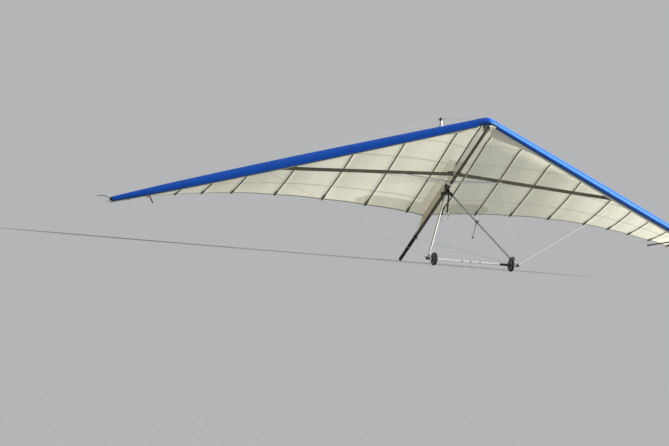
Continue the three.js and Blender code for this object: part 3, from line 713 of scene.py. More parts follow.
def pocket_finish(g):
    colour = tuple(bpy.context.scene.hang_glider.pocket_colour)
    deep = [c * 0.72 for c in colour]
    span, across = g.value("span"), g.value("across")
    seams = panel_seams(g, 1.22, span + 0.4, 0.009)
    hems = g.math("MAXIMUM", g.band(across, 0.03, 0.012, 0.002), g.band(across, 0.95, 0.012, 0.002))
    cloudy = g.noise(2.6, 4.0)
    streaks = g.noise(1.0, 3.0, g.vector(span * 2.2, across * 26, 1.3))
    base = g.mix(cloudy * 0.45 + streaks * 0.35, colour, deep)
    # Painted shade: the cloth darkens towards its lower part and turns navy on its underside, standing for
    # the shade under the leading edge
    base = g.mix(g.step(across, 0.35, 0.72) * 0.5, base, (0.006, 0.05, 0.5))
    base = g.mix(g.step(across, 0.79, 0.83), base, (0.001, 0.04, 0.15))
    base = g.mix(g.math("MAXIMUM", seams, hems) * 0.55, base, [c * 0.35 for c in colour])
    rough = streaks * 0.16 + 0.58
    folds = g.noise(1.0, 3.0, g.vector(span * 4.5, across * 9, 2.0))
    normal = g.bump(folds * 0.007 + g.noise(380.0, 1.0) * 0.00012)
    normal = g.bump(seams * 0.0008 + hems * 0.0008, normal)
    sheen = {"Specular_IOR_Level": 0.95, "Specular_Tint": (0.25, 0.75, 1.0, 1.0)}
    return g.surface(Base_Color=base, Roughness=rough, Normal=normal, **sheen)


def keel_cloth_finish(g):
    colour = (0.8, 0.78, 0.66)
    across = g.value("across")
    edges = g.math("MAXIMUM", g.band(across, 0.02, 0.02, 0.003), g.band(across, 0.98, 0.02, 0.003))
    worn = g.noise(5.0, 4.0)
    base = g.mix(worn, colour, [c * 0.72 for c in colour])
    base = g.mix(edges * 0.5, base, [c * 0.55 for c in colour])
    base = g.mix(g.band(across, 0.5, 0.14, 0.01), base, (0.09, 0.083, 0.055))
    folds = g.noise(1.0, 2.0, g.vector(g.value("aft") * 9, across * 5, 0.4))
    normal = g.bump(folds * 0.006 + g.noise(420.0, 1.0) * 0.00012)
    share = 0.5 - g.band(across, 0.5, 0.14, 0.01) * 0.45
    return g.surface((1.0, 0.94, 0.76), share, Base_Color=base, Roughness=0.65, Normal=normal)


def batten_finish(g):
    # The dark olive is partly the doubled cloth and partly painted shadow of the batten inside it, as seen
    # through the sail
    weave = g.math("SINE", g.value("along") * 1800)
    dirt = g.noise(9.0, 3.0)
    base = g.mix(dirt, (0.12, 0.106, 0.062), (0.21, 0.19, 0.125))
    return g.surface(Base_Color=base, Roughness=0.8, Normal=g.bump(weave * 0.0002))


def webbing_finish(g):
    ribs = g.math("SINE", g.value("along") * 2400)
    fuzz = g.noise(160.0, 2.0)
    worn = g.noise(14.0, 3.0)
    base = g.mix(worn, (0.012, 0.013, 0.016), (0.045, 0.046, 0.05))
    normal = g.bump(ribs * 0.0003 + fuzz * 0.0003)
    return g.surface(Base_Color=base, Roughness=0.85, Normal=normal, Sheen_Weight=0.3)


def cable_finish(g):
    strands = g.math("SINE", g.value("along") * 3200)
    dull = g.noise(30.0, 2.0)
    base = g.mix(dull, (0.62, 0.62, 0.62), (0.45, 0.45, 0.45))
    rough = dull * 0.2 + 0.5
    normal = g.bump(strands * 0.00012)
    return g.surface(Base_Color=base, Metallic=0.2, Roughness=rough, Normal=normal)


def tyre_finish(g):
    dust = g.noise(16.0, 4.0)
    grain = g.noise(260.0, 2.0)
    base = g.mix(g.step(dust, 0.45, 0.75), (0.018, 0.018, 0.019), (0.075, 0.07, 0.062))
    normal = g.bump(grain * 0.0004)
    return g.surface(Base_Color=base, Roughness=dust * 0.2 + 0.62, Normal=normal)


# Metals, plastics and cords: colour, colour where worn or dull, metallic, roughness, its swing,
# scale of the marks, height of the grain
PLAIN_FINISHES = {
    "keel_tube": ((0.11, 0.1, 0.072), (0.2, 0.185, 0.14), 0.75, 0.38, 0.18, 7.0, 0.00012),
    "cross_tube": ((0.16, 0.148, 0.108), (0.27, 0.255, 0.2), 0.7, 0.4, 0.16, 6.0, 0.00012),
    "bright_tube": ((0.62, 0.63, 0.64), (0.46, 0.47, 0.48), 0.85, 0.42, 0.1, 9.0, 0.00004),
    "grey_alloy": ((0.24, 0.24, 0.235), (0.14, 0.14, 0.135), 0.8, 0.38, 0.16, 20.0, 0.0001),
    "bright_alloy": ((0.84, 0.85, 0.85), (0.62, 0.62, 0.61), 0.55, 0.38, 0.16, 16.0, 0.0001),
    "steel": ((0.58, 0.58, 0.57), (0.36, 0.36, 0.35), 0.9, 0.38, 0.16, 24.0, 0.0001),
    "dark_metal": ((0.03, 0.031, 0.034), (0.1, 0.1, 0.1), 0.6, 0.42, 0.16, 18.0, 0.0001),
    "black_plastic": ((0.012, 0.012, 0.014), (0.04, 0.04, 0.042), 0.0, 0.45, 0.15, 30.0, 0.00025),
    "black_rubber": ((0.014, 0.014, 0.015), (0.04, 0.039, 0.037), 0.0, 0.78, 0.12, 40.0, 0.0005),
    "slate_sleeve": ((0.01, 0.015, 0.026), (0.03, 0.036, 0.05), 0.0, 0.5, 0.14, 20.0, 0.0002),
    "hub_plastic": ((0.09, 0.092, 0.098), (0.17, 0.17, 0.17), 0.0, 0.4, 0.2, 26.0, 0.0002),
    "rim_grey": ((0.3, 0.31, 0.32), (0.2, 0.2, 0.2), 0.0, 0.42, 0.2, 26.0, 0.0002),
    "copper": ((0.3, 0.19, 0.12), (0.2, 0.14, 0.1), 0.8, 0.5, 0.16, 60.0, 0.0001),
    "white_cord": ((0.7, 0.7, 0.66), (0.5, 0.5, 0.46), 0.0, 0.75, 0.1, 90.0, 0.0005),
    "polished_leg": ((0.5, 0.5, 0.5), (0.34, 0.34, 0.34), 0.85, 0.4, 0.1, 8.0, 0.00004),
    "hem_tape": ((0.55, 0.53, 0.45), (0.4, 0.38, 0.31), 0.0, 0.7, 0.1, 16.0, 0.0003),
    "pocket_tape": ((0.003, 0.02, 0.17), (0.01, 0.03, 0.2), 0.0, 0.5, 0.14, 16.0, 0.0003),
    "stitching": ((0.1, 0.1, 0.11), (0.2, 0.19, 0.17), 0.0, 0.8, 0.1, 200.0, 0.0008),
    "dial": ((0.22, 0.24, 0.22), (0.19, 0.21, 0.19), 0.0, 0.18, 0.08, 40.0, 0.00005),
}


def plain_finish(g, colour, worn, metallic, roughness, swing, scale, grain):
    marks = g.noise(scale, 4.0)
    fine = g.noise(scale * 24, 2.0)
    rubbed = g.step(marks, 0.5, 0.78)
    base = g.mix(rubbed * 0.75 + fine * 0.2, colour, worn)
    rough = marks * swing + (roughness - swing / 2)
    normal = g.bump(fine * grain)
    return g.surface(Base_Color=base, Metallic=metallic, Roughness=rough, Normal=normal)


def floor_finish(g):
    colour = tuple(bpy.context.scene.hang_glider.floor_colour)
    cloudy = g.noise(0.35, 4.0)
    base = g.mix(cloudy * 0.5, colour, [c * 0.95 for c in colour])
    normal = g.bump(g.noise(60.0, 2.0) * 0.0006)
    return g.surface(Base_Color=base, Roughness=0.9, Normal=normal, Specular_IOR_Level=0.0)


OWN_FINISHES = {
    "sail": sail_finish, "flap": flap_finish, "pocket": pocket_finish, "batten": batten_finish,
    "keel_cloth": keel_cloth_finish, "webbing": webbing_finish, "cable": cable_finish,
    "tyre": tyre_finish, "floor": floor_finish,
}
MADE = {}


def finish(name):
    """The material of that name, made when it is first asked for."""
    if name not in MADE:
        graph = Graph(f"{name}_finish")
        if name in OWN_FINISHES:
            MADE[name] = OWN_FINISHES[name](graph)
        else:
            MADE[name] = plain_finish(graph, *PLAIN_FINISHES[name])
    return MADE[name]


# ---- Cloth ----


def make_sail(name, side, look):
    """One half of the sail, whose cloth bellies between its battens, and the hem along its back."""
    cut = Cut()
    post_y = POST_FOOT.y + (POST_TOP.y - POST_FOOT.y) * 0.1
    for x in cloth_columns(0.0):
        s = Station(x)
        near = min(abs(x - b) for b in BATTENS)
        inner = x < BATTENS[0]
        scallop = look.scallop * s.bay * (0.4 if inner else 1)
        # Rows lie close together at the kingpost, and run on across the sail from there
        post = (post_y - s.front) / s.chord if inner else POST_ROWS_SHARE
        shares = spread(SKIN_FROM / s.chord, 1, 38)[1:]
        shares += [post + d for d in (-0.012, -0.008, -0.003, 0.003, 0.008, 0.012)]
        column = [s.front_top(k) for k in (0.45, 0.6, 0.75, 0.9, 1.0)]
        for t in sorted(shares):
            p = s.skin(t * (s.chord - scallop))
            belly = math.sin(math.pi * min(t, 1)) ** 0.7 * min(1.0, s.chord / 1.6)
            p.z += look.belly * s.bay * belly
            if t < 0.98:
                p.z += BATTEN_RIDGE * math.exp(-((near / BATTEN_HALF_WIDE) ** 2))
            column.append(p)
        if x == 0:
            for p in column:
                gap = POST_HOLE**2 - (p.y - post_y) ** 2
                p.x = math.sqrt(max(gap, 0.0))
        cut.add(column, span=x, aft=[p.y - s.front for p in column],
                from_te=[s.te_y - p.y for p in column], to_batten=near)
    sail = cloth(f"sail_cloth_{name}", cut, side, ["sail"], [f"sail_{name}"])

    # The hem's section: how far ahead of the edge, and how high
    section = ((-0.002, 0), (0.012, -0.003), (0.028, -0.002), (0.028, 0.0015), (0.012, 0.003))
    rings = []
    for column in cut.columns:
        edge, ahead = on_side(column[-1], side), on_side(column[-2], side)
        way = (ahead - edge).normalized()
        rings.append([edge + way * run + Vector((0, 0, rise)) for run, rise in section])
    hem = piece(f"trailing_hem_{name}", Form().loft(rings), ["hem_tape"])
    pockets, tips = make_battens(name, side)
    cut.declare()


def make_battens(name, side):
    """Battens in their pockets along the underside, with the tips and cords behind the sail."""
    pockets, tips = Form(), Form()
    turns = [math.pi * k / 6 for k in range(7)]
    section = [Vector((math.cos(a) * 0.0125, 0, -math.sin(a) * 0.0105)) for a in turns]

    def sew(s, first, last):
        rings, runs = [], []
        for t in spread(first, last, 40):
            low = on_side(s.skin(t * s.chord), side) - Vector((0, 0, 0.001))
            rings.append([low + p for p in section])
            runs.append(t * s.chord)
        pockets.loft(rings, along=runs)

    if side > 0:
        root = Station(0.0)
        sew(root, *[y / root.chord for y in ROOT_BATTEN])
    for x in BATTENS:
        s = Station(x)
        sew(s, min(0.3, max(s.flap * 0.9, 0.1) / s.chord), 0.995)
        end, back = on_side(s.skin(s.chord), side), on_side(s.skin(s.chord - 0.2), side)
        way = (end - back).normalized()

        def at(run, drop):
            return end + way * run - Vector((0, 0, drop))

        tips.tube([at(-0.13, 0.006), at(-0.02, 0.006), at(0.012, 0.006)], [0.007, 0.0085, 0.007], 10)
        tips.strap([at(-0.1, 0.0132), at(-0.05, 0.0144), at(0.004, 0.009)], 0.022, 0.003)
        knot = ((0, 0), (0.012, 0.014), (0, 0.022), (-0.012, 0.014))
        tips.ring([at(0.008, 0.006) + Vector((side * dx, dy, 0)) for dx, dy in knot], 0.002, 6)
    # The pockets' dark finish is partly painted shadow of the battens
    pocket = piece(f"batten_pockets_{name}", pockets, ["batten"])
    return pocket, piece(f"batten_tips_{name}", tips, ["black_plastic"])


def make_flap(name, side):
    """The lower surface behind the pocket, up to where it is sewn to the sail."""
    cut = Cut()
    for x in cloth_columns(CLOTH_ROOT_X, 8):
        s = Station(x)
        middle, end = s.floor(POCKET_DEPTH), s.floor(s.flap)
        start = s.rounded(ROUND_END).lerp(middle, POCKET_SEAM)
        column = [start, start.lerp(middle, 0.5), middle]
        for k, sag in ((0.25, 0.0042), (0.5, 0.006), (0.75, 0.0042)):
            column.append(middle.lerp(end, k) - Vector((0, 0, sag)))
        column.append(end)
        cut.add(column, span=x, aft=[p.y - s.front for p in column], across=spread(0, 1, 7))
    flap = cloth(f"lower_flap_{name}", cut, side, ["flap"])
    cut.declare()


def make_front_cloth(name, side):
    """The leading edge pocket, from its top seam round the front to the seam under the tube."""
    cut = Cut()
    for x in cloth_columns(CLOTH_ROOT_X, 12):
        s = Station(x)
        column = [s.front_top(k) for k in (0.5, 0.36, 0.24, 0.12, 0.0)]
        column += [s.rounded(a) for a in range(74, ROUND_END + 1, 9)]
        low, seam = column[-1], s.floor(POCKET_DEPTH)
        column += [low.lerp(seam, k * POCKET_SEAM / 3) for k in (1, 2, 3)]
        cut.add(column, span=x, across=shares_along(column))
    nodes = [f"leading_edge_pocket_{name}"]
    front = cloth(f"leading_edge_cloth_{name}", cut.turned_over(), side, ["pocket"], nodes)
    cut.declare()


def make_nose_cone():
    """The cloth cap laced over the nose, puckered along its edges."""
    cut = Cut()
    for x in spread(-0.172, 0.172, 29):
        s = Station(abs(x))
        front = math.hypot(s.front, 0.03)
        column = [s.front_top(k, 0.09, CONE_GROW, front) for k in (0.85, 0.6, 0.4, 0.2, 0.0)]
        column += [s.rounded(a, CONE_GROW, front) for a in range(72, 205, 10)]
        for p in column:
            p.x = x
        cut.add(column, span=x, across=shares_along(column))
    for i, column in enumerate(cut.columns):
        for j, p in enumerate(column):
            edge = min(j, len(column) - 1 - j) / 4
            pucker = 0.0022 * math.sin(i * 2.1 + j * 0.4) * max(0.0, 1 - edge)
            p.z += pucker
            p.y += pucker
    cone = cloth("nose_cone_cloth", cut.turned_over(), 1, ["pocket"], ["nose_cone"])
    hem = Form()
    columns = cut.columns
    for rim in (columns[0], columns[-1], [c[0] for c in columns], [c[-1] for c in columns]):
        hem.tube(rim, 0.0035, 8)
    hem = piece("nose_cone_hem", hem, ["pocket_tape"])
    cut.declare()


def make_keel_pocket():
    """The fin and sleeve that hold the sail's root to the keel: one cloth folded under the keel."""
    root = Station(0.0)
    cut = Cut()
    bow = (0, 0.0015, 0.003, 0.003, 0.002, 0.0015)
    turns = [math.radians(d) for d in range(75, -256, -22)]
    for share in spread(0, 1, 25):
        top_y, low_y = [FIN_FRONT + (end - FIN_FRONT) * share for end in (root.te_y, FIN_LOW_END)]
        top = Vector((0, top_y, root.height(top_y / root.te_y) - 0.004))
        low = Vector((0, low_y, 0.034))
        ply = [top.lerp(low, k / 5) + Vector((0.002 + out, 0, 0)) for k, out in enumerate(bow)]
        fold = [Vector((FIN_FOLD * math.cos(a), low_y, FIN_FOLD * math.sin(a))) for a in turns]
        column = ply + fold + [on_side(p, -1) for p in reversed(ply)]
        cut.add(column, aft=low_y, across=spread(0, 1, len(column)))
    fin = cloth("keel_pocket_cloth", cut, 1, ["keel_cloth"], ["keel_pocket"])
    cut.declare()


# ---- Airframe ----


def make_keel():
    tube = Form()
    tube.tube([(0, 0.01, 0), (0, 3.9, 0)], KEEL_RADIUS, 40)
    tube.paint = 1
    for a, b in ((1.02, 1.36), (1.60, 1.985)):
        tube.tube([(0, a, 0), (0, b, 0)], KEEL_RADIUS + 0.0016, 40)
    tube.paint = 2
    plug = [(0, 0.019), (0.003, 0.0235), (0.008, 0.0246), (0.03, 0.0246)]
    tube.turned((0, 0.004, 0), AFTWARD, plug, 32)
    for y in (1.05, 1.33, 1.63, 1.95, 2.6):
        for x in (1, -1):
            rivet = [(0, 0.004), (0.001, 0.0038), (0.0018, 0.002)]
            tube.turned((x * (KEEL_RADIUS + 0.001), y, 0), (x, 0, 0), rivet, 12)
    piece("keel_tube_round", tube, ["keel_tube", "keel_tube", "steel"], ["keel_tube"])

    grip = Form()
    profile = [(0, 0.0262), (0.0, 0.0295)]
    for k in range(27):
        y = 0.004 + k * 0.012
        profile += [(y, 0.0304), (y + 0.0075, 0.0304), (y + 0.0085, 0.0285), (y + 0.011, 0.0285)]
    profile += [(0.33, 0.0295), (0.33, 0.0262)]
    grip.turned((0, 3.29, 0), AFTWARD, profile, 36, loop=True)
    grip.paint = 1
    grip.sleeve((0, 3.622, 0), AFTWARD, 0.136, 0.0262, 0.0285, sides=36)
    piece("keel_grip_ribbed", grip, ["black_rubber", "slate_sleeve"], ["keel_grip"])

    profile = [(0, 0.0258), (0, 0.0285), (0.003, 0.029), (0.02, 0.029), (0.022, 0.0278), (0.026, 0.0278),
               (0.028, 0.029), (0.15, 0.029), (0.157, 0.0272), (0.16, 0.023)]
    cap = Form().turned((0, 3.76, 0), AFTWARD, profile, 36)
    piece("keel_tail_cap", cap, ["black_plastic"], ["keel_end_cap"])

    tang = Form()
    tang.sleeve((0, REAR_Y - 0.03, 0), AFTWARD, 0.06, 0.0258, REAR_RADIUS, (0.0015, 0.001), 36)
    for z in (1, -1):
        ear = mirrored([(-0.017, 0), (-0.015, 0.017), (-0.006, 0.0235)])
        tang.slab(ear, (-0.0025 * z, REAR_Y, z * 0.0225), AFTWARD, UPWARD * z, 0.005)
        tang.pin((0, REAR_Y, z * 0.0385), (0.012, 0, 0), 0.003)
    tang.block((0.036, 0.034, 0.012), (0, REAR_Y, -0.034))
    piece("keel_rear_tang", tang, ["dark_metal"], ["keel_rear_bracket"])


def saddle(half, foot, arch, back):
    """The outline of a block astride the keel, with feet at one height and its back at another."""
    over = mirrored([(-half, foot), (-0.0262, foot), (-0.0262, arch), (-0.02, 0.0175), (-0.011, 0.0238)])
    over.insert(len(over) // 2, (0, 0.0262))
    return [*over, (half, back), (-half, back)]


def make_nose():
    plates = Form()
    outline = mirrored([(-0.034, 0.19), (-0.06, 0.076), (-0.138, 0.104), (-0.138, 0.064), (-0.04, 0.018)])
    low = LEAD_ROOT_Z - LEAD_RADIUS - 0.0015
    plates.slab(outline, (0, 0, NOSE_TOP), LEFTWARD, AFTWARD, 0.005)
    plates.slab(outline, (0, 0, low - 0.005), LEFTWARD, AFTWARD, 0.005)
    plates.block((0.02, 0.03, 0.018), (0, 0.07, NOSE_TOP + 0.012))
    plates.slab(saddle(0.032, -0.012, 0.008, low - 0.006), (0, 0.188, 0), LEFTWARD, UPWARD, 0.176)
    plates.block((0.04, 0.152, 0.007), (0, 0.096, -0.0288))
    plates.block((0.044, 0.04, 0.014), (0, 0.066, -0.0393))
    for x, y in ((0, 0.03), (0, 0.16), (0.096, 0.056), (-0.096, 0.056)):
        plates.bolt((x, y, NOSE_TOP + 0.005), UPWARD, 0.0045)
        plates.bolt((x, y, low - 0.005 if x else -0.0323), -UPWARD, 0.0045)
    piece("nose_plate_pair", plates, ["grey_alloy"], ["nose_plates"])


def crossbar_line(side):
    """Inner end, crossing with the leading edge tube, and direction of one crossbar."""
    start = Vector((side * CROSS_X, CROSS_Y, CROSS_Z))
    crossing = lead_point(CROSS_SPAN, side)
    return start, crossing, (crossing - start).normalized()


def make_crossbar(name, side):
    start, crossing, way = crossbar_line(side)
    _, rise = square(way)
    end = crossing - way * 0.172
    sleeve = CROSS_RADIUS + 0.0015
    bar = Form()
    bar.tube([start, end], CROSS_RADIUS, 40)
    bar.paint = 1
    bar.tube([start + way * 0.001, start + way * 0.16], sleeve, 40)
    bar.tube([end - way * 0.12, end - way * 0.001], sleeve, 40)
    bar.paint = 2
    for run in (0.05, 0.12):
        for up in (rise, -rise):
            rivet = [(0, 0.0045), (0.0012, 0.0042), (0.002, 0.002)]
            bar.turned(start + way * run + up * sleeve, up, rivet, 12)
    piece(f"crossbar_tube_{name}", bar, ["cross_tube", "cross_tube", "steel"], [f"crossbar_{name}"])


def make_leading_tube(name, side):
    along = LEAD_WAY[side]
    first = lead_point(0, side) + along * 0.075
    lead = Form()
    lead.tube([first, lead_point(HALF_SPAN - TIP_INSET, side)], LEAD_RADIUS, 28)
    lead.paint = 1
    lead.tube([first + along * 0.001, first + along * 0.3], LEAD_RADIUS + 0.0006, 28)
    nodes = [f"leading_edge_tube_{name}"]
    piece(f"leading_tube_{name}", lead, ["keel_tube", "dark_metal"], nodes)


def make_end_fitting(name, side):
    """The sleeve, plug and wire tab that join a crossbar to its leading edge tube."""
    _, crossing, way = crossbar_line(side)
    _, rise = square(way)
    along = LEAD_WAY[side]
    tab = crossing - way * TAB_INSET
    fit = Form()
    fit.sleeve(crossing - along * 0.06, along, 0.12, 0.0245, 0.031, (0.002, 0.002))
    fit.tube([crossing - way * 0.026, crossing - way * 0.235], 0.017, 20)
    fit.cheek(mirrored([(-0.012, 0.058), (-0.023, 0.05), (-0.023, -0.05), (-0.012, -0.058)]), tab, 0.01)
    for z in TAB_HOLES:
        fit.pin(tab + UPWARD * z, (0.012, 0, 0), 0.0035)
    fit.pin(crossing - way * 0.19, rise * -0.03, 0.004)
    nodes = [f"crossbar_end_bracket_{name}"]
    piece(f"crossbar_end_fitting_{name}", fit, ["steel"], nodes)


def make_hinge():
    """The plate and saddle that join both crossbars over the keel."""
    top = CROSS_Z + CROSS_RADIUS + 0.0022
    hinge = Form()
    outline = mirrored([(-0.13, 0.04), (-0.13, -0.02), (-0.04, -0.034)])
    hinge.slab(outline, (0, CROSS_Y, top), LEFTWARD, AFTWARD, 0.005)
    hinge.slab(saddle(0.036, 0.006, 0.009, top), (0, CROSS_Y + 0.026, 0), LEFTWARD, UPWARD, 0.052)
    hinge.bolt((0, CROSS_Y, top + 0.005), UPWARD, 0.006)
    for x in (-0.1, 0.1):
        hinge.bolt((x, CROSS_Y + 0.01, top + 0.005), UPWARD, 0.0045)
    piece("crossbar_hinge_block", hinge, ["steel"], ["crossbar_centre_hinge"])


def make_haulback():
    """The catch behind the hinge, and the arms that draw the crossbars back to it."""
    catch = Form()
    catch.sleeve((0, 1.64, 0), AFTWARD, 0.045, 0.0268, 0.0295, sides=36)
    catch.cheek([(0, 0), (0.05, 0), (0.044, 0.022), (0.006, 0.022)], (0, 1.636, 0.0275), 0.012)
    catch.pin((0, 1.66, 0.042), (0.02, 0, 0), 0.0035)
    for side in (1, -1):
        start, end = Vector((side * 0.014, 1.658, 0.044)), Vector((side * 0.9, 1.552, 0.036))
        path = [start, start.lerp(end, 0.06), start.lerp(end, 0.5), end]
        catch.tube(path, [0.012, 0.0155, 0.0125, 0.006], 12)
    piece("crossbar_haulback", catch, ["bright_alloy"])


def make_kingpost():
    post = Form().tube([POST_FOOT, POST_TOP], POST_RADIUS, 32)
    piece("kingpost_tube", post, ["bright_tube"], ["kingpost"])

    foot = Form()
    foot.block((0.056, 0.09, 0.012), (0, POST_FOOT.y, 0.0313))
    for side in (1, -1):
        foot.cheek(mirrored([(-0.03, 0), (-0.024, 0.03)]), (side * 0.022, POST_FOOT.y, 0.03), 0.006)
    socket = [(0, 0.018), (0.002, 0.0245), (0.052, 0.0245), (0.056, 0.023), (0.06, 0.0196)]
    foot.turned(POST_FOOT - POST_WAY * 0.014, POST_WAY, socket, 28)
    foot.pin(POST_FOOT + POST_WAY * 0.02, (0.032, 0, 0), 0.004)
    for y in (-0.036, 0.036):
        foot.bolt((0, POST_FOOT.y + y, 0.0373), UPWARD, 0.0035)
    piece("kingpost_foot", foot, ["dark_metal"], ["kingpost_base"])

    cap = Form()
    profile = [(0, 0.0194), (0, 0.024), (0.003, 0.025), (0.05, 0.025), (0.0545, 0.0235), (0.056, 0.02)]
    cap.turned(POST_TOP - POST_WAY * 0.034, POST_WAY, profile, 28)
    cap.pin(POST_TOP - POST_WAY * 0.012, (0.03, 0, 0), 0.003)
    piece("kingpost_head", cap, ["black_plastic"], ["kingpost_cap"])


# ---- Control frame ----


def leg_line(side):
    """Apex, corner and direction of one downtube's line."""
    apex, corner = on_side(APEX, side), on_side(CORNER, side)
    return apex, corner, (corner - apex).normalized()


def make_control_frame():
    apex = Form()
    apex.block((0.058, 0.076, 0.014), (0, APEX.y, -0.0333))
    for side in (1, -1):
        cheek = mirrored([(-0.03, -0.028), (-0.022, -0.062), (-0.014, -0.084)])
        apex.cheek(cheek, (side * 0.029, APEX.y, 0), 0.006)
    pivot, half = Vector((0, APEX.y, APEX.z)), Vector((0.03, 0, 0))
    apex.pin(pivot, (0.062, 0, 0), 0.006)
    apex.tube([pivot - half, pivot + half], 0.014, 20)
    for name, side in SIDES.items():
        make_leg(name, side, apex)
    piece("apex_fitting", apex, ["dark_metal"], ["apex_bracket"])

    base = Form()
    middle, half = Vector((0, CORNER.y, CORNER.z)), Vector((CORNER.x + 0.012, 0, 0))
    base.tube([middle - half, middle + half], BASE_RADIUS, 32)
    base.paint = 1
    profile = [(0, 0.0148), (0, 0.0175), (0.004, 0.019)]
    profile += [(0.01 + k * 0.008, 0.0195 if k % 2 else 0.0185) for k in range(18)]
    profile += [(0.15, 0.019), (0.154, 0.0175), (0.154, 0.0148)]
    base.turned(middle + LEFTWARD * 0.486, LEFTWARD, profile, 28, loop=True)
    base.paint = 2
    for x in (-0.2, -0.05, 0.12):
        base.sleeve(middle + LEFTWARD * x, LEFTWARD, 0.014, 0.0147, 0.0168)
    paints = ["bright_alloy", "black_rubber", "dark_metal"]
    piece("base_bar_tube", base, paints, ["base_bar"])


def make_leg(name, side, apex):
    """A downtube with the elbow at its foot. Its upper socket goes into the apex fitting."""
    top, corner, way = leg_line(side)
    _, rise = square(way)
    start, end = top + way * 0.026, corner - way * LEG_INSET
    socket = [(0, 0.012), (0.004, 0.019), (0.02, 0.021), (0.088, 0.021), (0.092, 0.0195), (0.094, LEG_BORE)]
    apex.turned(start - way * 0.024, way, socket, 28)
    apex.pin(start + way * 0.045, rise * 0.021, 0.0035)
    leg = Form().tube([start, end], DOWNTUBE_RADIUS, 32)
    piece(f"downtube_polished_{name}", leg, ["polished_leg"], [f"downtube_{name}"])

    # Paint 0 is the socket of the downtube, 1 the grip of the base bar, 2 the ring and the wires' pins
    elbow = Form()
    out = Vector((side, 0, 0))
    elbow.paint = 1
    elbow.sleeve(corner - out * 0.026, out, 0.06, 0.0152, 0.021, (0.002, 0.0015))
    elbow.paint = 0
    socket = [(0, LEG_BORE), (0.0, 0.019), (0.003, 0.0205), (0.09, 0.0205), (0.112, 0.0195)]
    elbow.turned(end - way * 0.086, way, socket, 28)
    elbow.paint = 1
    tab = corner + out * CORNER_TAB
    elbow.cheek(mirrored([(-0.03, -0.002), (-0.026, 0.022), (-0.012, 0.0275)]), tab, 0.012)
    elbow.pin(end - way * 0.06, rise * 0.021, 0.0035)
    elbow.paint = 2
    elbow.sleeve(corner + out * 0.012, out, 0.006, 0.0214, 0.0222)
    for y in (-0.013, 0.014):
        elbow.pin(tab + Vector((0, y, 0.014)), (0.01, 0, 0), 0.003)
    paints = ["bright_alloy", "black_plastic", "steel"]
    piece(f"corner_elbow_{name}", elbow, paints, [f"corner_bracket_{name}"])


def make_wheels():
    for name, side in SIDES.items():
        centre = Vector((side * WHEEL_X, CORNER.y, CORNER.z))
        make_tyre(name, centre)
        make_hub(name, centre)
        for label, offset in (("inner", -0.036), ("outer", 0.036)):
            stop = Form()
            at = centre + LEFTWARD * (side * offset)
            stop.sleeve(at - LEFTWARD * 0.006, LEFTWARD, 0.012, 0.0149, 0.022, (0.0015, 0.0012), 32)
            stop.bolt(at - UPWARD * 0.0215, -UPWARD, 0.002)
            nodes = [f"wheel_collar_{label}_{name}"]
            piece(f"wheel_stop_{label}_{name}", stop, ["black_plastic"], nodes)


def make_tyre(name, centre):
    """A solid tyre with five ribs of tread."""
    wall = [(-0.017, 0.0782), (-0.0205, 0.082), (-0.023, 0.0865), (-0.0228, 0.091), (-0.0195, 0.0965),
            (-0.018, 0.0985), (-0.0165, 0.0992)]
    profile = list(wall)
    for k in range(5):
        x = -0.0145 + k * 0.0068
        crown = WHEEL_RADIUS - 0.9 * (x + 0.0009) ** 2 * 18
        for step, drop in ((-0.0016, 0.0018), (-0.0008, 0), (0.0024, 0), (0.0032, 0.0018)):
            profile.append((x + step, crown - drop))
    profile += mirrored(wall)[len(wall):]
    tyre = Form().turned(centre, LEFTWARD, profile, 72, loop=True)
    nodes = [f"wheel_tyre_{name}"]
    piece(f"wheel_tyre_treaded_{name}", tyre, ["tyre"], nodes, f"wheel_{name}")


def make_hub(name, centre):
    """A hub in two bolted halves, with six ribs and a grey rim on each face."""
    half = [(-0.024, 0.0153), (-0.024, 0.026), (-0.021, 0.0285), (-0.009, 0.033), (-0.0055, 0.036),
            (-0.005, 0.058), (-0.007, 0.062), (-0.0155, 0.066), (-0.016, 0.0776)]
    rim = [(0.0145, 0.0665), (0.0175, 0.068), (0.0185, 0.0715), (0.0175, 0.0765), (0.0145, 0.0765)]
    hub = Form().turned(centre, LEFTWARD, mirrored(half), 64, loop=True)
    for k in range(6):
        out = Vector((0, math.cos(math.pi * k / 3), math.sin(math.pi * k / 3)))
        for way in (LEFTWARD, -LEFTWARD):
            hub.block((0.005, 0.006, 0.026), centre + out * 0.047 + way * 0.0075, way, way.cross(out), 0.001)
    hub.paint = 1
    for way in (LEFTWARD, -LEFTWARD):
        hub.turned(centre, way, rim, 64, loop=True)
    hub.paint = 2
    for k in range(6):
        a = math.pi * (k + 0.5) / 3
        for way in (LEFTWARD, -LEFTWARD):
            at = centre + way * 0.0052 + Vector((0, 0.047 * math.cos(a), 0.047 * math.sin(a)))
            hub.bolt(at, way, 0.0025)
    paints, nodes = ["hub_plastic", "rim_grey", "steel"], [f"wheel_hub_{name}"]
    piece(f"wheel_hub_ribbed_{name}", hub, paints, nodes, f"wheel_{name}")


# ---- Rigging ----


def make_stay(name, a, b, node):
    """A stay with a thimble and a swaged sleeve at each end."""
    a, b = Vector(a), Vector(b)
    way = (b - a).normalized()
    across, _ = square(way)
    stay = Form()
    stay.tube([a + way * 0.02, a.lerp(b, 0.33), a.lerp(b, 0.67), b - way * 0.02], 0.002, 10)
    for at, inward in ((a, way), (b, -way)):
        thimble = [at + inward * (0.011 - 0.009 * math.cos(t)) + across * 0.0065 * math.sin(t)
                   for t in around(14)]
        stay.ring(thimble, 0.0022, 8)
        stay.paint = 1
        stay.tube([at + inward * 0.022, at + inward * 0.05], 0.0042, 10, oval=1.25)
        stay.paint = 0
    piece(name, stay, ["cable", "copper"], [node])


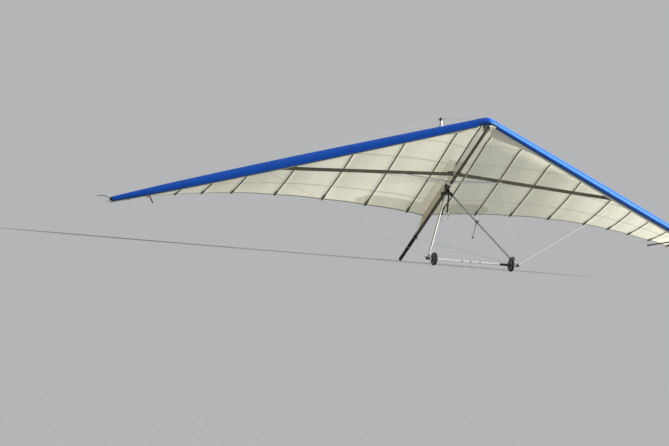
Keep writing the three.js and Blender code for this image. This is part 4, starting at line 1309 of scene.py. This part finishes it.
def make_stays():
    top = POST_TOP + POST_WAY * 0.01
    for name, side in SIDES.items():
        out = Vector((side, 0, 0))
        corner = on_side(CORNER, side)
        _, crossing, way = crossbar_line(side)
        tab = crossing - way * TAB_INSET
        pins = corner + out * 0.01 + UPWARD * 0.014
        nose, rear = Vector((side * 0.01, 0.066, -0.04)), Vector((side * 0.012, REAR_Y, 0.004 - REAR_RADIUS))
        ends = {
            "lower_side": (corner + out * CORNER_TAB + UPWARD * 0.012, tab + UPWARD * TAB_HOLES[0]),
            "lower_front": (pins - AFTWARD * 0.012, nose),
            "lower_rear": (pins + AFTWARD * 0.014, rear),
            "upper_side": (top + out * 0.012, tab + UPWARD * TAB_HOLES[1]),
        }
        for label, (a, b) in ends.items():
            make_stay(f"stay_{label}_{name}", a, b, f"{label}_wire_{name}")
    make_stay("stay_upper_front", top - AFTWARD * 0.012, (0, 0.07, NOSE_TOP + 0.013), "upper_front_wire")
    make_stay("stay_upper_rear", top + AFTWARD * 0.018, (0, REAR_Y, REAR_RADIUS - 0.004), "upper_rear_wire")


def make_light_lines():
    """The cord from the nose to the arm's clamp, and the one from the sail's end to the rear tang."""
    lines = Form()
    apex, _, way = leg_line(1)
    nose, clamp = Vector((0.012, 0.075, -0.046)), apex + way * ARM_RUN
    middle = (clamp.x * 0.5, (nose.y + clamp.y) / 2 - 0.004, (clamp.z + nose.z) / 2 - 0.01)
    lines.tube([nose, middle, clamp + Vector((-0.006, -0.018, 0.004))], 0.0016, 8)
    root = Station(0.0)
    sail_end = (0, root.te_y - 0.012, root.te_z - 0.004)
    lines.tube([sail_end, (0, root.te_y + 0.16, 0.12), (0, REAR_Y - 0.004, 0.036)], 0.002, 8)
    piece("light_lines", lines, ["white_cord"])


def make_luff_lines():
    """Thin lines from the kingpost's head to the ends of the inner battens, through one ring."""
    luff = Form()
    head = POST_TOP - POST_WAY * 0.03 + AFTWARD * 0.022
    ring = head + Vector((0, 0.17, -0.095))
    luff.tube([head, head.lerp(ring, 0.5) + Vector((0, 0.006, -0.01)), ring], 0.0036, 10)
    circle = [Vector((0.012 * math.cos(a), 0.008 * math.sin(a), -0.012 * math.sin(a))) for a in around(12)]
    luff.ring([ring + p for p in circle], 0.0022, 8)
    luff.paint = 1
    for side in SIDES.values():
        for x in LUFF_BATTENS:
            s = Station(x)
            end = on_side(s.skin(s.chord - 0.012), side)
            luff.tube([ring, end + UPWARD * 0.004], 0.0013, 6)
    piece("luff_lines", luff, ["black_plastic", "white_cord"])


def make_washout_strut(name, side):
    """The strut that holds the sail's back up near the tip, and the wire from its end to the sail."""
    root, end = lead_point(4.985, side), Vector((side * STRUT_X, 3.42, 0.385))
    way = (end - root).normalized()
    start, eye = root + way * 0.0244, end - way * 0.01
    above = on_side(Station(STRUT_X).skin(3.41 - STRUT_X / SLANT), side)
    strut = Form()
    strut.tube([start, end], 0.0115, 20)
    strut.paint = 1
    strut.tube([start, start + way * 0.05], 0.0125, 20)
    strut.tube([end - way * 0.05, end + way * 0.004], 0.0128, 20)
    strut.paint = 2
    strut.tube([eye, eye.lerp(above, 0.5), above], 0.0018, 8)
    paints, nodes = ["dark_metal", "black_plastic", "cable"], [f"washout_strut_{name}"]
    piece(f"washout_strut_tube_{name}", strut, paints, nodes)


def make_tip_rod(name, side):
    """The cap on the end of the leading edge tube, and the bent rod that draws the tip back."""
    along = LEAD_WAY[side]
    rod = Form()
    cap = [(0, 0.022), (0.001, 0.025), (0.004, 0.026), (0.06, 0.026), (0.068, 0.024), (0.0725, 0.018)]
    rod.turned(lead_point(HALF_SPAN - TIP_INSET, side) + along * 0.0003, along, cap, 28)
    base = lead_point(HALF_SPAN, side) + along * 0.02
    a, b, c = [on_side(p, side) for p in ((0, 0, 0), (0.04, 0.165, 0.175), (0.115, 0.245, 0.212))]
    pull = b * 2 - (a + c) / 2
    shares = spread(0, 1, 17)
    curve = [base + a * (1 - t) ** 2 + pull * 2 * t * (1 - t) + c * t * t for t in shares]
    rod.tube(curve, [0.006 - 0.0015 * t for t in shares], 12)
    rod.paint = 1
    rod.tube([curve[-2], curve[-1] + (curve[-1] - curve[-2]) * 0.3], 0.0062, 12)
    piece(f"tip_rod_{name}", rod, ["black_plastic", "black_rubber"], [f"tip_wand_{name}"])


# ---- Hang point, and what is clamped to the left downtube ----


def make_hang_bracket():
    bracket = Form()
    bracket.block((0.168, 0.04, 0.01), (0, HANG_PIN.y, -0.0313))
    for side in (1, -1):
        cheek = mirrored([(-0.017, -0.026), (-0.015, -0.06), (-0.008, -0.074)])
        bracket.cheek(cheek, (side * 0.079, HANG_PIN.y, 0), 0.006)
    bracket.pin(HANG_PIN, (0.083, 0, 0), 0.0058)
    piece("hang_bracket_plates", bracket, ["dark_metal"], ["hang_bracket"])


def make_hang_strap(name, side, length):
    """A loop of webbing over the hang pin. It hangs plumb."""
    centre = HANG_PIN + Vector((side * HANG_SPREAD, 0, 0))

    def at(out, drop):
        return centre + PLUMB_OUT * out + PLUMB * drop

    r = 0.0083
    bend = [(r * math.cos(math.pi * k / 8), -r * math.sin(math.pi * k / 8)) for k in range(9)]
    down = [(0.003 * math.sin(math.pi * k / 8) - r, (length - 0.012) * k / 8) for k in range(1, 9)]
    foot = [(-0.004, length - 0.0035), (0.004, length - 0.0035)]
    path = [*bend, *down, *foot, *[(-out, drop) for out, drop in reversed(down)], (r, 0.001)]
    loop = Form()
    loop.strap([at(out, drop) for out, drop in path], STRAP_WIDE, 0.0032)
    loop.paint = 1
    loop.strap([at(-r - 0.001, 0.05), at(-r - 0.001, 0.12)], 0.02, 0.0045)
    webbing = piece(f"hang_strap_{name}", loop, ["webbing", "stitching"], [f"hang_loop_{name}"])


def make_carabiner(name, side, length):
    """An oblong ring in the foot of a strap, with a gate on its outer side."""
    centre = HANG_PIN + Vector((side * HANG_SPREAD, 0, 0)) + PLUMB * (length - 0.0143 + 0.056)
    outline = []
    for x, y, start in ((1, -1, -90), (1, 1, 0), (-1, 1, 90), (-1, -1, 180)):
        for d in (0, 22.5, 45, 67.5, 90):
            a = math.radians(start + d)
            outline.append((x * 0.014 + 0.011 * math.cos(a), y * 0.04 + 0.011 * math.sin(a)))
    hook = Form()
    hook.ring([centre + LEFTWARD * u + PLUMB * v for u, v in outline], 0.0048, 12)
    hook.paint = 1
    gate = centre + LEFTWARD * (side * 0.025)
    hook.tube([gate - PLUMB * 0.024, gate + PLUMB * 0.014], 0.0068, 16)
    piece(f"carabiner_ring_{name}", hook, ["steel", "dark_metal"], [f"carabiner_{name}"])


def make_accessory_arm():
    """Two clamps, a knob and a bent arm with a small pad at its end."""
    apex, _, way = leg_line(1)
    at = apex + way * ARM_RUN
    arm = Form()
    for run in (-0.013, 0.013):
        arm.sleeve(at + way * (run - 0.009), way, 0.018, LEG_BORE, 0.0228, (0.002, 0.0018))
    knob = at + Vector((0.034, 0, 0.02))
    arm.tube([at + (knob - at) * 0.5, knob], 0.0135, 20)
    arm.turned(knob, knob - at, [(-0.004, 0.011), (-0.002, 0.0148), (0.006, 0.0148), (0.009, 0.011)], 16)
    line = Vector((-0.08, 0.1, -0.25))
    tip = at + line
    bend = at + line * 0.12 + Vector((-0.004, 0.004, 0))
    middle = at + line * 0.5 + Vector((-0.003, 0, -0.002))
    arm.tube([at + line * 0.075, bend, middle, tip], [0.0068, 0.0062, 0.0055, 0.005], 14)
    arm.block((0.032, 0.032, 0.01), tip)
    arm.tube([tip + Vector((0.012, 0.012, -0.004)), tip + Vector((0.012, 0.012, 0.012))], 0.004, 10)
    piece("accessory_arm_clamped", arm, ["black_plastic"], ["accessory_arm"])


def make_instrument():
    """A round case with a dial, on a clamp and a short stalk."""
    _, corner, way = leg_line(1)
    seat = corner - way * (LEG_INSET + 0.14)
    face = seat + Vector((0.048, 0.016, 0.006))
    facing = Vector((0, 17, 8))
    case = Form()
    case.sleeve(seat - way * 0.014, way, 0.028, LEG_BORE, 0.022, (0.002, 0.0015))
    case.tube([seat.lerp(face, 0.36), seat.lerp(face, 0.6)], 0.0088, 14)
    body = [(-0.0185, 0.03), (-0.017, 0.036), (-0.01, 0.0395), (0.012, 0.04), (0.0175, 0.0385),
            (0.0185, 0.036), (0.016, 0.0345)]
    case.turned(face, facing, body, 40)
    case.paint = 1
    case.turned(face, facing, [(0.0162, 0.0343), (0.0172, 0.034), (0.0176, 0.03)], 40)
    piece("instrument_case", case, ["black_plastic", "dial"], ["instrument_pod"])


# ---- Add-on ----


COLOUR = {"subtype": "COLOR", "size": 3, "min": 0, "max": 1}


class HangGliderLook(bpy.types.PropertyGroup):
    sail_colour: FloatVectorProperty(
        name="Sail", description="Colour of the sailcloth", default=(0.83, 0.835, 0.73), **COLOUR)
    pocket_colour: FloatVectorProperty(
        name="Leading edge", description="Colour of the leading edge cloth",
        default=(0.003, 0.13, 0.9), **COLOUR)
    floor_colour: FloatVectorProperty(
        name="Floor", description="Colour of the studio floor", default=(0.371, 0.381, 0.399), **COLOUR)
    sail_glow: FloatProperty(
        name="Glow", description="Share of light that comes through the sail",
        default=0.44, min=0, max=0.9, subtype="FACTOR")
    belly: FloatProperty(
        name="Belly", description="Rise of the cloth between two battens",
        default=0.012, min=0, max=0.05, unit="LENGTH")
    scallop: FloatProperty(
        name="Scallop", description="Depth of the trailing edge's curve between battens",
        default=0.014, min=0, max=0.08, unit="LENGTH")
    camera_distance: FloatProperty(
        name="Camera distance", description="Distance from the glider to the camera",
        default=60.0, min=10, max=200, unit="LENGTH")
    camera_height: FloatProperty(
        name="Camera height", description="Height of the camera above the floor",
        default=0.5, min=0.05, max=20, unit="LENGTH")
    key_strength: FloatProperty(
        name="Key light", description="Strength of the light from the right", default=8.0, min=0, max=30)
    surround: FloatProperty(
        name="Surround", description="Brightness of the pale surround", default=0.47, min=0, max=3)


class GLIDER_OT_sail(bpy.types.Operator):
    """Sew both halves of the sail, with their battens and lower flaps"""

    bl_idname = "hang_glider.sail"
    bl_label = "Sail"

    def execute(self, context):
        for name, side in SIDES.items():
            make_sail(name, side, context.scene.hang_glider)
            make_flap(name, side)
        return {"FINISHED"}


class GLIDER_OT_leading_edges(bpy.types.Operator):
    """Make the leading edge cloth on both sides and the nose cone"""

    bl_idname = "hang_glider.leading_edges"
    bl_label = "Leading edges"

    def execute(self, context):
        for name, side in SIDES.items():
            make_front_cloth(name, side)
        make_nose_cone()
        return {"FINISHED"}


class GLIDER_OT_keel(bpy.types.Operator):
    """Make the keel with its pocket, grip, cap and rear tang, and the nose plates"""

    bl_idname = "hang_glider.keel"
    bl_label = "Keel"

    def execute(self, context):
        make_keel()
        make_keel_pocket()
        make_nose()
        return {"FINISHED"}


class GLIDER_OT_crossbars(bpy.types.Operator):
    """Make the crossbars with their hinge and end fittings, and the leading edge tubes"""

    bl_idname = "hang_glider.crossbars"
    bl_label = "Crossbars"

    def execute(self, context):
        for name, side in SIDES.items():
            make_crossbar(name, side)
            make_leading_tube(name, side)
            make_end_fitting(name, side)
        make_hinge()
        make_haulback()
        return {"FINISHED"}


class GLIDER_OT_kingpost(bpy.types.Operator):
    """Make the kingpost with its foot and head"""

    bl_idname = "hang_glider.kingpost"
    bl_label = "Kingpost"

    def execute(self, context):
        make_kingpost()
        return {"FINISHED"}


class GLIDER_OT_control_frame(bpy.types.Operator):
    """Make the downtubes, the base bar and their fittings"""

    bl_idname = "hang_glider.control_frame"
    bl_label = "Control frame"

    def execute(self, context):
        make_control_frame()
        return {"FINISHED"}


class GLIDER_OT_wheels(bpy.types.Operator):
    """Make both wheels and their stops"""

    bl_idname = "hang_glider.wheels"
    bl_label = "Wheels"

    def execute(self, context):
        make_wheels()
        return {"FINISHED"}


class GLIDER_OT_rigging(bpy.types.Operator):
    """Make the stays, the light lines and the luff lines"""

    bl_idname = "hang_glider.rigging"
    bl_label = "Rigging"

    def execute(self, context):
        make_stays()
        make_light_lines()
        make_luff_lines()
        return {"FINISHED"}


class GLIDER_OT_tips(bpy.types.Operator):
    """Make the washout struts and the tip rods"""

    bl_idname = "hang_glider.tips"
    bl_label = "Tips"

    def execute(self, context):
        for name, side in SIDES.items():
            make_washout_strut(name, side)
            make_tip_rod(name, side)
        return {"FINISHED"}


class GLIDER_OT_hang_point(bpy.types.Operator):
    """Make the hang bracket, straps and carabiners, and what is clamped to the downtube"""

    bl_idname = "hang_glider.hang_point"
    bl_label = "Hang point"

    def execute(self, context):
        make_hang_bracket()
        for name, side, length in HANG_STRAPS:
            make_hang_strap(name, side, length)
            make_carabiner(name, side, length)
        make_accessory_arm()
        make_instrument()
        return {"FINISHED"}


class GLIDER_OT_stage(bpy.types.Operator):
    """Lay the floor, hang the lights and set up the camera"""

    bl_idname = "hang_glider.stage"
    bl_label = "Stage"

    def execute(self, context):
        look = context.scene.hang_glider
        make_floor()
        make_lights(look)
        make_camera(look)
        return {"FINISHED"}


# The floor is a disc that runs far past what the camera sees
FLOOR_REACH, FLOOR_SIDES = 700.0, 64

# The key light grazes the top of the wing from the right, so the far half glows and the near one doesn't
KEY_FROM, KEY_SPREAD, KEY_COLOUR = Vector((0.93, -0.2, 0.31)), math.radians(18), (1.0, 0.97, 0.92)
SURROUND_COLOUR = (0.97, 0.985, 1.0, 1)

# The camera was fitted to points of the photograph, in a frame 669 pixels wide, from 60 m away
PHOTO_WIDE, FOCAL_PIXELS, FIT_DISTANCE = 669, 3609.7, 60
CAMERA_FOCUS = FOCAL_PIXELS / FIT_DISTANCE / PHOTO_WIDE
SENSOR = 36
AIM = Vector((0, 0, 1.2))
CAMERA_AZIMUTH, CAMERA_ROLL = math.radians(-24.16), math.radians(4.93)
CAMERA_PAN, CAMERA_TILT = math.radians(-1.737), math.radians(-0.477)


def make_floor():
    mesh = bpy.data.meshes.new("studio_floor")
    points = [(FLOOR_REACH * math.cos(a), FLOOR_REACH * math.sin(a), 0) for a in around(FLOOR_SIDES)]
    mesh.from_pydata(points, [], [tuple(range(FLOOR_SIDES))])
    mesh.materials.append(finish("floor"))
    floor = bpy.data.objects.new("studio_floor", mesh)
    bpy.context.scene.collection.objects.link(floor)


def make_lights(look):
    lamp = bpy.data.lights.new("key_light", "SUN")
    lamp.energy, lamp.angle, lamp.color = look.key_strength, KEY_SPREAD, KEY_COLOUR
    key = bpy.data.objects.new("key_light", lamp)
    key.location = KEY_FROM * 20
    key.rotation_euler = KEY_FROM.to_track_quat("Z", "Y").to_euler()
    bpy.context.scene.collection.objects.link(key)
    sky = bpy.data.worlds.new("studio")
    sky.use_nodes = True
    background = sky.node_tree.nodes["Background"]
    background.inputs["Color"].default_value = SURROUND_COLOUR
    background.inputs["Strength"].default_value = look.surround
    bpy.context.scene.world = sky
    bpy.context.scene.view_settings.view_transform = "Standard"


def make_camera(look):
    distance = look.camera_distance
    rise = -math.asin((AIM.z - look.camera_height) / distance)
    flat = math.cos(rise)
    back = Vector((math.sin(CAMERA_AZIMUTH) * flat, -math.cos(CAMERA_AZIMUTH) * flat, math.sin(rise)))
    ahead = -back
    right = ahead.cross(Vector((0, 0, 1))).normalized()
    up = right.cross(ahead)
    right, up = (
        right * math.cos(CAMERA_ROLL) + up * math.sin(CAMERA_ROLL),
        up * math.cos(CAMERA_ROLL) - right * math.sin(CAMERA_ROLL),
    )
    ahead = (ahead + right * math.tan(CAMERA_PAN) + up * math.tan(CAMERA_TILT)).normalized()
    right = (right - ahead * right.dot(ahead)).normalized()
    up = right.cross(ahead)
    lens = bpy.data.cameras.new("camera")
    lens.sensor_width = SENSOR
    lens.lens = SENSOR * CAMERA_FOCUS * distance
    lens.clip_end = 2000
    camera = bpy.data.objects.new("camera", lens)
    turn = Matrix((right, up, -ahead)).transposed().to_4x4()
    camera.matrix_world = Matrix.Translation(AIM + back * distance) @ turn
    bpy.context.scene.collection.objects.link(camera)
    bpy.context.scene.camera = camera


STEPS = (
    GLIDER_OT_stage, GLIDER_OT_sail, GLIDER_OT_leading_edges, GLIDER_OT_keel, GLIDER_OT_crossbars,
    GLIDER_OT_kingpost, GLIDER_OT_control_frame, GLIDER_OT_wheels, GLIDER_OT_rigging, GLIDER_OT_tips,
    GLIDER_OT_hang_point,
)


class GLIDER_PT_panel(bpy.types.Panel):
    bl_idname = "GLIDER_PT_panel"
    bl_label = "Hang glider"
    bl_space_type = "VIEW_3D"
    bl_region_type = "UI"
    bl_category = "Hang glider"

    def draw(self, context):
        for key in HangGliderLook.__annotations__:
            self.layout.prop(context.scene.hang_glider, key)
        for step in STEPS:
            self.layout.operator(step.bl_idname)


CLASSES = (HangGliderLook, *STEPS, GLIDER_PT_panel)


def register():
    for cls in CLASSES:
        bpy.utils.register_class(cls)
    bpy.types.Scene.hang_glider = PointerProperty(type=HangGliderLook)


def unregister():
    del bpy.types.Scene.hang_glider
    for cls in reversed(CLASSES):
        bpy.utils.unregister_class(cls)


def main():
    register()
    for step in STEPS:
        group, name = step.bl_idname.split(".")
        getattr(getattr(bpy.ops, group), name)()


if __name__ == "__main__":
    main()
